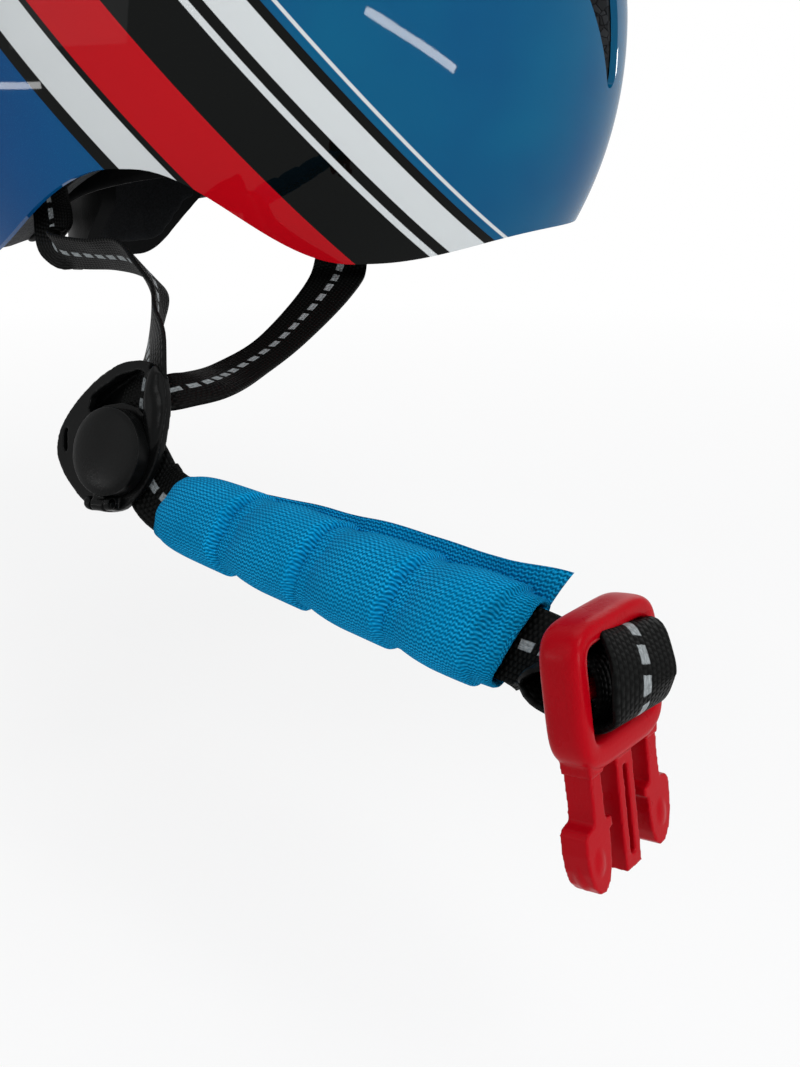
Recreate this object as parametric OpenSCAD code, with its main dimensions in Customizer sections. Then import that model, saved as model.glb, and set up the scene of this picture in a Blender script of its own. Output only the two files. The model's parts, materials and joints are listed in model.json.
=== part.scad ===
// Bike helmet for a child: a gloss shell over a foam liner, a dial fit cradle at the nape and a
// webbing harness with side dividers, a padded chin strap and a side release buckle.
// X points to the brow, Y to the wearer's left, Z up. The origin is the seat of the head.
// The right half of the harness hangs down, the left half is folded up over the shell.

/* [Shell] */
// Length of the shell from brow to nape
shell_len = 248; // [240:1:256]
// Width of the shell over the ears
shell_w = 206; // [200:1:214]
// Height of the crown above the rim plane
crown_h = 150; // [144:1:158]
// Height of the widest section above the rim plane
waist_h = 65; // [60:1:70]
// Depth in which the side walls would close below the widest section
tuck = 125; // [118:1:136]
// Wall of the outer shell
shell_wall = 2; // [1.4:0.1:2.6]
// Height of the rim at the brow
brow_z = 7; // [4:1:12]
// Height of the rim in front of the ears
cheek_z = -1; // [-3:1:1]
// Height of the rim over the ears
ear_z = 26.5; // [23:0.5:29]
// Height of the rim at the nape
nape_z = -4; // [-8:1:-1]
// Half width of the opening in the nape that clears the dial
arch_half = 30; // [28:1:34]
// Height of the opening in the nape
arch_z = 32; // [30:1:36]

/* [Liner] */
// Thickness of the foam liner
foam_t = 20; // [17:0.5:22]
// Height of the liner's edge above the rim of the shell
liner_lift = 1.5; // [1:0.5:3]
// Width of the foam ledge that shows round a vent
vent_ledge = 2; // [1:0.5:2.5]
// Thickness of the comfort pads
pad_t = 5; // [4:0.5:6]
// Thickness of the hook discs behind the pads
hook_t = 1.2; // [0.8:0.2:1.4]
// Diameter of a hook disc
hook_d = 16; // [12:1:20]

/* [Harness] */
// Width of the webbing
web_w = 16; // [14:0.5:17]
// Thickness of the webbing
web_t = 1.3; // [1:0.1:1.5]
// Distance of the front strap's root ahead of the head seat
front_root_x = 39; // [36:1:44]
// Distance of the rear strap's root behind the head seat
rear_root_x = 50; // [46:1:54]
// Diameter of the round lever on a divider
lever_d = 22; // [19:1:22]
// Thickness of the round lever
lever_t = 4; // [3.5:0.5:5]

/* [Chin pad] */
// Length of the chin pad
chin_len = 103; // [94:1:103]
// Width of the chin pad
chin_w = 23; // [21:1:26]
// Thickness of the chin pad at the crown of a segment
chin_t = 16.5; // [14:0.5:18]
// Part of that thickness behind the middle of the webbing
chin_back = 4.4; // [4:0.2:5]
// Number of quilted segments
chin_segments = 4; // [3:1:6]
// Depth of a sewn channel between two segments
channel_d = 1.6; // [1:0.2:2]

/* [Buckle] */
// Width of the male buckle's frame
frame_w = 29; // [27:0.5:31]
// Height of the male buckle's frame
frame_h = 24; // [23:0.5:26]
// Thickness of the male buckle's frame
frame_t = 7; // [6:0.5:8]
// Diameter of the bars that carry the webbing
bar_d = 4; // [3.4:0.2:4.4]
// Reach of the prongs below the frame
prong_len = 25.5; // [24:0.5:28]

/* [Fit system] */
// Module of the pinion and the racks
gear_m = 1; // [0.9:0.1:1.1]
// Travel of each rack
rack_travel = 10; // [6:1:10]
// Diameter of the dial
dial_d = 24; // [22:1:26]
// Thickness of the dial
dial_t = 9; // [8:0.5:10]
// Height of the dial's axis above the rim plane
dial_z = 15; // [14:0.5:17]
// Gap between the racks and the liner at the nape
cradle_gap = 1.5; // [1:0.5:3]
// Height of the cradle's plate
cradle_h = 38; // [34:1:40]
// Width of a fit band
band_w = 13; // [11:1:14]
// Thickness of a fit band
band_t = 1.4; // [1.2:0.1:1.8]

/* [Hidden] */

// Running clearance of a shaft, and the gap left between pieces that lie side by side
run = 0.05;
gap = 0.3;

blue = "#0a6a96";
foam_grey = "#33363a";
pad_black = "#222428";
web_black = "#1b1c1e";
trim_black = "#161718";
pad_blue = "#1c7fc0";
buckle_red = "#c01a26";
steel = "#a9adb3";

// Shell form
shell_cx = -4;
half_l = shell_len / 2;
half_w = shell_w / 2;
crown_power = 2.3;
dome_floor = -34;
dome_arc = 14;
dome_fn = 96;
cut_depth = 60;

function crown_r(t) = pow(cos(t), 2 / crown_power);
function crown_rise(t) = pow(sin(t), 2 / crown_power);
function rho(z, top) = z >= waist_h
    ? pow(max(0, 1 - pow(min(1, (z - waist_h) / (top - waist_h)), crown_power)), 1 / crown_power)
    : sqrt(1 - pow((waist_h - z) / tuck, 2));

// Wall profile of the dome that lies a distance inside the shell's outer face
function dome_profile(inset) = let(
    w = half_w - inset,
    top = crown_h - inset,
    low = [for (i = [0 : 6]) let(z = dome_floor - inset / 10 + (waist_h - dome_floor) * i / 7)
        [w * rho(z, top), z]],
    high = [for (i = [0 : dome_arc]) let(t = 90 * i / dome_arc)
        [i == dome_arc ? 0 : w * crown_r(t), waist_h + (top - waist_h) * crown_rise(t)]])
    concat([[0, dome_floor - inset / 10]], low, high);

module dome(inset) {
    translate([shell_cx, 0, 0])
        scale([(half_l - inset) / (half_w - inset), 1, 1])
            rotate_extrude($fn = dome_fn) polygon(dome_profile(inset));
}

// Side face of the dome at a station x and height z, on the wearer's right
function wall_pt(x, z, inset) = let(
    r = rho(z, crown_h - inset),
    u = (x - shell_cx) / ((half_l - inset) * r))
    [x, -(half_w - inset) * r * sqrt(max(0, 1 - u * u)), z];

// Point on the wearer's left of the dome, an angle above its widest section
function over_pt(x, t, lift) = let(
    r = crown_r(t),
    u = (x - shell_cx) / (half_l + lift))
    [x, (half_w + lift) * sqrt(max(0, r * r - u * u)),
        waist_h + (crown_h + lift - waist_h) * crown_rise(t)];

function unit(v) = v / norm(v);
function flip_y(v) = [v[0], -v[1], v[2]];
function rim_tangent(x, z, inset) = unit(wall_pt(x + 1, z, inset) - wall_pt(x - 1, z, inset));

// Rim line of the shell along its side
ease_front = [50, 105];
ease_ear_front = [-15, 45];
ease_ear_rear = [-92, -20];
function ease(a, b, t) = a + (b - a) * (1 - cos(180 * min(1, max(0, t)))) / 2;
function ease_in(a, b, span, x) = ease(a, b, (x - span[0]) / (span[1] - span[0]));
function rim_z(x) = x >= ease_front[0] ? ease_in(cheek_z, brow_z, ease_front, x)
    : x >= ease_ear_front[0] ? ease_in(ear_z, cheek_z, ease_ear_front, x)
    : ease_in(nape_z, ear_z, ease_ear_rear, x);

rim_step = 6;
module below_rim(lift) {
    reach = half_l + 12;
    rotate([90, 0, 0])
        linear_extrude(height = shell_w + 20, center = true)
            polygon(concat(
                [[-reach, -cut_depth]],
                [for (x = [-reach : rim_step : reach]) [x, rim_z(x) + lift]],
                [[reach + rim_step, rim_z(reach) + lift], [reach + rim_step, -cut_depth]]));
}

// Opening in the nape, a round arch across the rear wall
arch_ease = 14;
module nape_arch(grow) {
    half = arch_half + grow;
    rotate([90, 0, -90])
        linear_extrude(height = half_l + 20)
            polygon(concat(
                [[-half - arch_ease, -cut_depth]],
                [for (y = [-half - arch_ease : 4 : half + arch_ease])
                    [y, ease(nape_z, arch_z + grow, (half + arch_ease - abs(y)) / arch_ease / 2)]],
                [[half + arch_ease, -cut_depth]]));
}

// Teardrop outline from a small end to a large end
drop_steps = 6;
function drop(p, r, q, s) = let(
    d = q - p,
    a = atan2(d[1], d[0]),
    lean = asin((s - r) / norm(d)))
    concat(
        [for (i = [0 : drop_steps]) let(t = a + 90 + lean + (180 - 2 * lean) * i / drop_steps)
            p + r * [cos(t), sin(t)]],
        [for (i = [0 : drop_steps]) let(t = a - 90 - lean + (180 + 2 * lean) * i / drop_steps)
            q + s * [cos(t), sin(t)]]);

// Vents: small end, its radius, large end, its radius
brow_vent = [[23.5, 53], 4, [37, 88], 12];
rear_vent = [[24, 58], 5, [33, 92], 10];
crown_vents = [
    [[62, 12], 5, [22, 11], 7],
    [[46, 44], 5, [4, 46], 9],
    [[-78, 15], 5, [-30, 16], 9],
    [[-66, 44], 5, [-30, 46], 8]];
vent_start = 45;
vent_reach = 120;

module vents(ledge) {
    for (side = [-1, 1]) {
        mirror([0, side < 0 ? 1 : 0, 0]) {
            translate([vent_start, 0, 0]) rotate([90, 0, 90])
                linear_extrude(height = vent_reach)
                    polygon(drop(brow_vent[0], brow_vent[1] - ledge, brow_vent[2], brow_vent[3] - ledge));
            translate([-vent_start - vent_reach, 0, 0]) rotate([90, 0, 90])
                linear_extrude(height = vent_reach)
                    polygon(drop(rear_vent[0], rear_vent[1] - ledge, rear_vent[2], rear_vent[3] - ledge));
            for (v = crown_vents)
                translate([0, 0, waist_h])
                    linear_extrude(height = vent_reach)
                        polygon(drop(v[0], v[1] - ledge, v[2], v[3] - ledge));
        }
    }
}

// Axes of a piece: its x along ex, its z along ez, its y completes them
module at(p, ex, ez) {
    z = unit(ez);
    y = unit(cross(z, ex));
    x = cross(y, z);
    multmatrix([
        [x[0], y[0], z[0], p[0]],
        [x[1], y[1], z[1], p[1]],
        [x[2], y[2], z[2], p[2]],
        [0, 0, 0, 1]]) children();
}

function in_frame(p, ex, ez, v) = let(
    z = unit(ez),
    y = unit(cross(z, ex)),
    x = cross(y, z))
    p + x * v[0] + y * v[1] + z * v[2];

// Rounded outline centred on the origin
round_steps = 6;
function round_rect(w, h, r) = [
    for (k = [0 : 3]) let(sx = (k == 0 || k == 3) ? 1 : -1, sy = k < 2 ? 1 : -1)
        for (i = [0 : round_steps]) let(t = 90 * k + 90 * i / round_steps)
            [sx * (w / 2 - r) + r * cos(t), sy * (h / 2 - r) + r * sin(t)]];

module slab(w, t, h, r) {
    rotate([90, 0, 0]) linear_extrude(height = t, center = true) polygon(round_rect(w, h, r));
}

// Ribbon of webbing or band: route points, width directions, width, thickness
function blend4(a, b, c, d, t) = 0.5 * (2 * b + (c - a) * t + (2 * a - 5 * b + 4 * c - d) * t * t
    + (3 * b - a - 3 * c + d) * t * t * t);
function smooth(p, n) = [
    for (i = [0 : len(p) - 2]) for (k = [0 : n - 1])
        blend4(p[max(i - 1, 0)], p[i], p[i + 1], p[min(i + 2, len(p) - 1)], k / n),
    p[len(p) - 1]];
function heading(p, i) = unit(p[min(i + 1, len(p) - 1)] - p[max(i - 1, 0)]);
function square_to(v, t) = unit(v - (v * t) * t);

module ribbon(route, widths, w, t, n = 4) {
    p = smooth(route, n);
    d = smooth(widths, n);
    m = len(p);
    points = [for (i = [0 : m - 1]) let(
        h = heading(p, i),
        s = square_to(d[i], h),
        u = cross(h, s))
        for (c = [[-1, -1], [1, -1], [1, 1], [-1, 1]]) p[i] + s * w / 2 * c[0] + u * t / 2 * c[1]];
    // The two broad faces share the way of their diagonals, so that a twist keeps its thickness
    sides = [for (i = [0 : m - 2]) for (c = [0 : 3]) let(
        a = 4 * i + c, b = 4 * i + (c + 1) % 4)
        each c == 2 ? [[a, a + 4, b + 4], [a, b + 4, b]] : [[a, a + 4, b], [b, a + 4, b + 4]]];
    last = 4 * m - 4;
    polyhedron(points, concat(sides,
        [[0, 1, 2], [0, 2, 3], [last + 2, last + 1, last], [last + 3, last + 2, last]]));
}

// Harness roots in the foam
root_inset = shell_wall + foam_t / 2 - 1;
anchor_rise = 14;
anchor_h = 8;
anchor_t = 3.2;
pocket_play = 1.4;
pocket_flare = 5;
front_exit = wall_pt(front_root_x, cheek_z, root_inset);
front_top = wall_pt(front_root_x, cheek_z + anchor_rise, root_inset);
front_along = rim_tangent(front_root_x, cheek_z, root_inset);
rear_z = rim_z(-rear_root_x);
rear_exit = wall_pt(-rear_root_x, rear_z, root_inset);
rear_top = wall_pt(-rear_root_x, rear_z + anchor_rise, root_inset);
rear_along = rim_tangent(-rear_root_x, rear_z, root_inset);

module anchor_at(foot, top, along) {
    at(foot + (top - foot) * (1 + (2 * gap + anchor_h / 2) / norm(top - foot)), along, top - foot)
        slab(web_w + 6, anchor_t, anchor_h, 2);
}
module pocket_at(foot, top, along) {
    long = anchor_rise + anchor_h + 2 * pocket_play;
    wide = web_w + 6 + 2 * pocket_play;
    thick = anchor_t + 2 * pocket_play;
    at(foot + unit(top - foot) * (long / 2 - 1), along, top - foot) {
        cube([wide, thick, long + 2], center = true);
        translate([0, 0, -long / 2]) cube([wide, thick + 2 * pocket_flare, pocket_flare], center = true);
    }
}
module both_sides() {
    children();
    mirror([0, 1, 0]) children();
}

// Divider: a rounded triangular frame in its own xz plane, its face towards -y
divider_c = front_exit + [-39.6, -87.9, -35.8];
divider_x = [0.92, -0.39, 0];
divider_z = [0.05, 0.29, 0.95];
divider_outline = [[8, 20.5], [18.5, 18], [17.5, -1], [15.5, -8], [7.5, -18], [-5, -17.5],
    [-17.5, -4.5], [-15, 3], [-8, 12], [0, 18.5]];
divider_window = [[-7, 6], [-6.5, 10], [1, 15.6], [8, 17.8], [14, 16.3], [14.8, 3], [13, 5],
    [9.5, 8.5], [4, 9.6], [-2, 8.5]];
divider_slot = [[-14.6, -3], [-13.9, 1.6], [-12.9, 2.6], [-13.6, -4.4]];
divider_round = 3;
divider_wall = 1.8;
divider_front = -2.2;
divider_back = 5.3;
cavity_front = 0;
cavity_back = cavity_front + 2 * web_t + 4 * gap;
layer_near = cavity_front + 2 * gap + web_t / 2;
layer_far = layer_near + web_t + gap;
lever_c = [4, -3];
lever_gap = 0.4;
lever_seat = 2.5;
lever_back = divider_front - lever_gap;
cam_back = cavity_front - 0.2;
hinge_r = 1;
ear_r = 1.7;
ear_w = 2;
tongue_w = 4;
hinge_c = [lever_c[0] - 2, lever_back - ear_r, lever_c[1] - lever_d / 2 - ear_r - 0.4];
// Mouths for the straps in the divider's walls: middle, size along x, size along z
top_mouth = [[12, 18], web_w + 3, 14];
front_mouth = [[16, 7], 12, web_w + 5];
low_mouth = [[9, -11], 20, web_w + 2];

function div_pt(v) = in_frame(divider_c, divider_x, divider_z, v);

module divider_plate(y0, y1, shrink) {
    translate([0, y1, 0]) rotate([90, 0, 0])
        linear_extrude(height = y1 - y0)
            offset(r = divider_round) offset(delta = -divider_round - shrink) polygon(divider_outline);
}

module through_front(outline) {
    translate([0, cavity_front + 0.1, 0]) rotate([90, 0, 0])
        linear_extrude(height = cavity_front - divider_front + 1) polygon(outline);
}
module along_hinge(x) {
    translate([hinge_c[0] + x, hinge_c[1], hinge_c[2]]) rotate([0, 90, 0]) children();
}

module divider_frame() {
    layers = divider_back + 2 - cavity_front;
    middle = cavity_front + layers / 2;
    difference() {
        union() {
            divider_plate(divider_front, divider_back, 0);
            // Ears of the lever's hinge
            for (side = [-1, 1]) {
                ear_x = side * (tongue_w + ear_w + 2 * gap) / 2 - ear_w / 2;
                along_hinge(ear_x) cylinder(r = ear_r, h = ear_w, $fn = 32);
                translate([hinge_c[0] + ear_x, hinge_c[1], hinge_c[2] - ear_r])
                    cube([ear_w, divider_front + 1 - hinge_c[1], 2 * ear_r]);
            }
        }
        divider_plate(cavity_front, cavity_back, divider_wall);
        through_front(divider_window);
        through_front(divider_slot);
        // Seat of the lever's cam
        translate([lever_c[0], cavity_front + 0.1, lever_c[1]]) rotate([90, 0, 0])
            cylinder(d = lever_d - 2 * lever_seat, h = cavity_front - divider_front + 1, $fn = 48);
        for (m = [top_mouth, front_mouth, low_mouth])
            translate([m[0][0], middle, m[0][1]]) cube([m[1], layers, m[2]], center = true);
        along_hinge(-web_w / 2) cylinder(r = hinge_r + run, h = web_w, $fn = 32);
    }
}

// Dish in the lever's face: its depth, its rim, and the foot and top of the button in it
dish = 0.8;
dish_rim = 2.5;
button_foot = 3;
button_top = 4.5;
module divider_lever() {
    translate([lever_c[0], lever_back, lever_c[1]]) rotate([90, 0, 0]) {
        difference() {
            cylinder(d = lever_d, h = lever_t, $fn = 64);
            translate([0, 0, lever_t - dish]) cylinder(d = lever_d - 2 * dish_rim, h = 2, $fn = 64);
        }
        translate([0, 0, lever_t - dish])
            cylinder(d1 = lever_d - 2 * button_foot, d2 = lever_d - 2 * button_top, h = dish, $fn = 64);
        translate([0, 0, lever_back - cam_back])
            cylinder(d = lever_d - 4 * lever_seat, h = cam_back - lever_back + 1, $fn = 48);
    }
    translate([hinge_c[0] - tongue_w / 2, hinge_c[1] - 1, hinge_c[2]])
        cube([tongue_w, lever_back - hinge_c[1] + 1, lever_c[1] - lever_d / 2 + 1 - hinge_c[2]]);
    along_hinge(-tongue_w / 2) cylinder(r = ear_r, h = tongue_w, $fn = 32);
    pin = tongue_w + 2 * gap + 2 * ear_w;
    along_hinge(-pin / 2) cylinder(r = hinge_r, h = pin, $fn = 32);
}

// Routes of the straps on the right, from the rim to the divider and on to the buckle
front_route_right = concat(
    [front_top, front_exit],
    [for (v = [[-3, -12, -8], [-8.6, -33, -15.3], [-16, -56, -20.5]]) front_exit + v],
    [div_pt([20, 8, 13.5]), div_pt([14, layer_far + 1.2, 9]), div_pt([8, layer_far + 0.2, 8])]);
div_up = div_pt([-0.3, 0, 1]) - div_pt([0, 0, 0]);
div_across = div_pt([1, 0, 0]) - div_pt([0, 0, 0]);
div_slant = div_pt([0.8, 0, 0.5]) - div_pt([0, 0, 0]);
front_width_right = concat(
    [front_along, front_along],
    [[0.97, -0.14, -0.22], [0.97, -0.25, -0.04], [0.98, -0.21, 0.04], [0.89, -0.29, -0.35]],
    [-div_up, -div_up]);

// Chin strap, straight through the chin pad, and the bar of the male buckle
chin_start = divider_c + [21.1, -11.4, -13.5];
chin_end = divider_c + [108.6, -67.1, -19.4];
chin_dir = unit(chin_end - chin_start);
chin_up = square_to([0.33, 0.42, 0.85], chin_dir);
chin_out = cross(chin_dir, chin_up);
chin_layer = web_t / 2 + gap / 2;
male_c = divider_c + [124, -80.9, -19.9];
male_x = [0.55, 0.83, 0.05];
male_z = [-0.165, 0.05, 1];
slot_z = bar_d / 2 + web_t / 2 + 2 * gap;
loop_out = 10.5;
function male_pt(v) = in_frame(male_c, male_x, male_z, v);
function chin_pt(k, side) = chin_start + (chin_end - chin_start) * k + chin_out * side * chin_layer;

rear_route_right = concat(
    [rear_top, rear_exit],
    [for (v = [[3, -5, -11], [12, -9, -14], [28, -18, -13.5], [41, -30, -14], [47.5, -40, -19]]) rear_exit + v],
    [for (v = [[-0.2, 36, 27], [2.6, 24.5, 23.6]]) divider_c + v],
    [div_pt([11, layer_near, 17.5]), div_pt([8, layer_near, 2]), div_pt([11, layer_near, -6])],
    [chin_pt(0, 1), chin_pt(0.5, 1), chin_pt(1, 1)],
    [male_pt([0, 9, slot_z]), male_pt([0, 3, slot_z]), male_pt([0, -4, slot_z + 1]),
        male_pt([0, 1.5 - loop_out, 3.4]), male_pt([0, -loop_out, 0]), male_pt([0, 1.5 - loop_out, -3.4]),
        male_pt([0, -4, -slot_z - 1]), male_pt([0, 3, -slot_z]), male_pt([0, 9, -slot_z])],
    [chin_pt(1, -1), chin_pt(0.5, -1), chin_pt(0, -1)],
    [div_pt([14, layer_far, -10])]);
bar_along = male_pt([1, 0, 0]) - male_pt([0, 0, 0]);
rear_width_right = concat(
    [rear_along, rear_along],
    [[0.75, -0.3, 0.6], [0.25, -0.45, 0.85], [0, -0.75, 0.65], [0.05, -0.9, 0.42], [0.15, -0.95, 0.25]],
    [[0.3, -0.93, 0.15], [0.55, -0.8, 0.1]],
    [div_across, div_across, div_slant],
    [chin_up, chin_up, chin_up],
    [for (k = [1 : 9]) bar_along],
    [chin_up, chin_up, chin_up],
    [div_slant]);

// Left half of the harness, folded up over the shell
lay = web_t / 2 + 1.4;
chin_lay = web_t / 2 + 2.1;
left_x = 0;
left_t = 14;
plate_lift = divider_back + 0.6;
left_c = over_pt(left_x, left_t, plate_lift);
left_down = over_pt(left_x, left_t - 2, plate_lift) - over_pt(left_x, left_t + 2, plate_lift);
function left_pt(v) = in_frame(left_c, [1, 0, 0], left_down, v);
female_t = 46;
female_lift = 6.8;
left_run_x = left_x + 9;
female_c = over_pt(left_run_x, female_t, female_lift);
female_z = over_pt(left_run_x, female_t + 16, female_lift) - over_pt(left_run_x, female_t, female_lift);
function female_pt(v) = in_frame(female_c, [-1, 0, 0], female_z, v);
wrap_r = bar_d / 2 + web_t / 2 + 1.5 * gap;

front_exit_left = flip_y(front_exit);
rear_exit_left = flip_y(rear_exit);
edge_drop = 6;
function left_wall(x, z, lift = 0) = flip_y(wall_pt(x, z, -lay - lift));
function edge_pt(x, z, exit) = [x, (exit[1] + left_wall(x, max(0, z))[1]) / 2, z - edge_drop];
front_route_left = [
    flip_y(front_top), front_exit_left, edge_pt(front_root_x, cheek_z, front_exit_left),
    left_wall(front_root_x - 1, cheek_z + 3), left_wall(front_root_x - 3, 10), left_wall(front_root_x - 6, 20),
    left_wall(front_root_x - 15, 42), left_wall(front_root_x - 24, 62),
    left_pt([14, layer_far + 0.3, 16]), left_pt([12, layer_far, 5])];
front_width_left = [
    flip_y(front_along), flip_y(front_along), flip_y(front_along), [0.95, 0, 0.2], [0.95, 0, 0.3], [0.9, 0, 0.35],
    [0.9, 0, 0.4], [0.95, 0, 0.3], [0.95, 0, 0.15], [0.95, 0, 0.15]];
rear_route_left = concat(
    [flip_y(rear_top), rear_exit_left, edge_pt(-rear_root_x, rear_z, rear_exit_left)],
    [left_wall(-rear_root_x + 1, rear_z + 3), left_wall(-rear_root_x + 5, rear_z + 11),
        left_wall(-rear_root_x + 12, rear_z + 20),
        left_wall(-rear_root_x + 27, rear_z + 38, 1), left_wall(-rear_root_x + 44, rear_z + 49, 2.2)],
    [left_pt([9, layer_near + 0.3, 17]), left_pt([10, layer_near, 4]), left_pt([9, layer_near, -4]),
        left_pt([9, layer_near, -10])],
    [for (t = [29, 34]) over_pt(left_run_x, t, chin_lay + web_t + gap)],
    [female_pt([0, -2.8, -13]), female_pt([0, -2.2, -7])],
    [for (a = [-150 : 50 : 150]) female_pt([0, wrap_r * sin(a), wrap_r * cos(a)])],
    [female_pt([0, 2.2, -7]), female_pt([0, 2.8, -13])],
    [for (t = [34, 29]) over_pt(left_run_x, t, chin_lay)]);
rear_width_left = concat(
    [flip_y(rear_along), flip_y(rear_along), flip_y(rear_along)],
    [[1, 0, -0.3], [1, 0, -0.4], [1, 0, -0.5], [1, 0, -0.6], [1, 0, -0.3], [1, 0, 0], [1, 0, 0], [1, 0, 0], [1, 0, 0]],
    [for (k = [1 : 15]) [1, 0, 0]]);

module outer_shell() color(blue) difference() {
    dome(0);
    dome(shell_wall);
    below_rim(0);
    nape_arch(0);
    vents(0);
}

liner_out = shell_wall + gap;
liner_in = liner_out + foam_t;
module foam_liner() color(foam_grey) difference() {
    dome(liner_out);
    dome(liner_in);
    below_rim(liner_lift);
    nape_arch(liner_lift);
    vents(vent_ledge);
    both_sides() pocket_at(front_exit, front_top, front_along);
    both_sides() pocket_at(rear_exit, rear_top, rear_along);
    both_sides() stud_axis() cylinder(d = stud_d + 4 * run, h = 2 * stud_len, center = true, $fn = 32);
}

// Layer that follows the inside of the liner, between two distances from it
module lining(near, far) {
    difference() {
        dome(liner_in + near);
        dome(liner_in + far);
        translate([0, 0, -cut_depth]) cube([2 * shell_len, 2 * shell_w, 2 * cut_depth], center = true);
    }
}
hook_near = 0.1;
pad_near = hook_near + hook_t + 0.1;
pad_far = pad_near + pad_t;
brow_pad_x = 58;
brow_pad_z = [16, 42];
crown_pad_size = [86, 26];
side_pad_size = [46, 30];
side_pad_at = [6, 62];
brow_hook_z = 29;
crown_hook_x = 28;

module brow_pad() color(pad_black) intersection() {
    lining(pad_near, pad_far);
    translate([brow_pad_x, -half_w, brow_pad_z[0]])
        cube([half_l, shell_w, brow_pad_z[1] - brow_pad_z[0]]);
}
module crown_pad() color(pad_black) intersection() {
    lining(pad_near, pad_far);
    translate([shell_cx, 0, waist_h]) linear_extrude(height = crown_h)
        polygon(round_rect(crown_pad_size[0], crown_pad_size[1], 12));
}
module side_pad() {
    intersection() {
        lining(pad_near, pad_far);
        translate([side_pad_at[0], 0, side_pad_at[1]]) rotate([90, 0, 0])
            linear_extrude(height = half_w) polygon(round_rect(side_pad_size[0], side_pad_size[1], 12));
    }
}
module side_pad_right() color(pad_black) side_pad();
module side_pad_left() color(pad_black) mirror([0, 1, 0]) side_pad();

module hook_discs() color(trim_black) intersection() {
    lining(hook_near, hook_near + hook_t);
    union() {
        for (x = [-crown_hook_x, crown_hook_x])
            translate([shell_cx + x, 0, waist_h]) cylinder(d = hook_d, h = crown_h, $fn = 32);
        for (side = [-1, 1])
            translate([side_pad_at[0], side < 0 ? -half_w : 0, side_pad_at[1]]) rotate([-90, 0, 0])
                cylinder(d = hook_d, h = half_w, $fn = 32);
        for (turn = [-25, 25])
            translate([shell_cx, 0, brow_hook_z]) rotate([0, 90, turn])
                cylinder(d = hook_d, h = shell_len, $fn = 32);
    }
}

module front_strap_anchors() color(trim_black)
    both_sides() anchor_at(front_exit, front_top, front_along);
module rear_strap_anchors() color(trim_black)
    both_sides() anchor_at(rear_exit, rear_top, rear_along);

module front_strap_right() color(web_black) ribbon(front_route_right, front_width_right, web_w, web_t);
module rear_strap_right() color(web_black) ribbon(rear_route_right, rear_width_right, web_w, web_t);
module front_strap_left() color(web_black) ribbon(front_route_left, front_width_left, web_w, web_t);
module rear_strap_left() color(web_black) ribbon(rear_route_left, rear_width_left, web_w, web_t);

// Keeper ring round the two layers of the left strap
keeper_t = 31.5;
keeper_wall = 1;
keeper_w = 5;
module strap_keeper() color(trim_black) {
    c = over_pt(left_run_x, keeper_t, chin_lay + (web_t + gap) / 2);
    up = over_pt(left_run_x, keeper_t + 1, chin_lay) - over_pt(left_run_x, keeper_t - 1, chin_lay);
    in_t = 2 * web_t + 5 * gap;
    at(c, [-1, 0, 0], up) difference() {
        cube([web_w + 2 * gap + 2 * keeper_wall, in_t + 2 * keeper_wall, keeper_w], center = true);
        cube([web_w + 2 * gap, in_t, keeper_w + 2], center = true);
    }
}

module divider_frame_right() color(trim_black) at(divider_c, divider_x, divider_z) divider_frame();
module divider_frame_left() color(trim_black) at(left_c, [1, 0, 0], left_down) divider_frame();
module divider_lever_right() color(trim_black) at(divider_c, divider_x, divider_z) divider_lever();
module divider_lever_left() color(trim_black) at(left_c, [1, 0, 0], left_down) divider_lever();

// Chin pad, a quilted sleeve in the plane of the chin strap with a flap along its back
chin_fn = 20;
ring_steps = 6;
chin_steps = ring_steps * chin_segments;
chin_lean = 0.2;
chin_taper = 0.12;
chin_round = 0.08;
chin_mouth = 0.5;
back_channel = 0.45;
sleeve_w = web_w / 2 + 0.6;
sleeve_t = web_t + gap + 0.6;
flap_t = 1.2;
flap_back = -2.2;
flap_reach = 5;
flap_lead = 3;
flap_form = [[0, 0], [0.1, 0], [0.65, 0.64], [0.9, 0.64], [1, 1]];
// Both ends lean with the seams: the top edge lies further along the strap than the lower edge
function chin_along(u, w) = u * chin_len + chin_lean * w;
function chin_ring(u) = let(
    edge = abs(2 * u - 1),
    end = 1 - chin_round * pow(edge, 8),
    wide = chin_w / 2 * (1 - chin_taper * (1 - u)) * end,
    crown = chin_mouth + (1 - chin_mouth) * sqrt(1 - pow(edge, 6)),
    puff = pow(abs(sin(180 * u * chin_segments)), 0.4),
    front = (chin_t - chin_back - channel_d * (1 - puff)) * crown,
    back = (chin_back - channel_d * back_channel * (1 - puff)) * end)
    [for (k = [0 : chin_fn - 1]) let(
        a = 360 * (k + 0.5) / chin_fn,
        w = wide * sign(cos(a)) * pow(abs(cos(a)), 0.75),
        t = sin(a) > 0 ? -back * pow(sin(a), 0.7) : front * pow(-sin(a), 0.85),
        // The two points on the top edge are drawn out to the thin flap of the back layer
        fin = (k == 0 || k == chin_fn - 1),
        reach = w + flap_reach * lookup(u, flap_form))
        fin ? [reach, flap_back + sign(t) * flap_t / 2, chin_along(u, reach) + flap_lead * max(0, 6 * u - 5)]
            : [w, t, chin_along(u, w)]];
function sleeve_ring(u) = [for (k = [0 : chin_fn - 1]) let(
    a = 360 * (k + 0.5) / chin_fn,
    w = sleeve_w * sign(cos(a)) * pow(abs(cos(a)), 0.3))
    [w, -sleeve_t * sign(sin(a)) * pow(abs(sin(a)), 0.3), chin_along(u, w)]];
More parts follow.
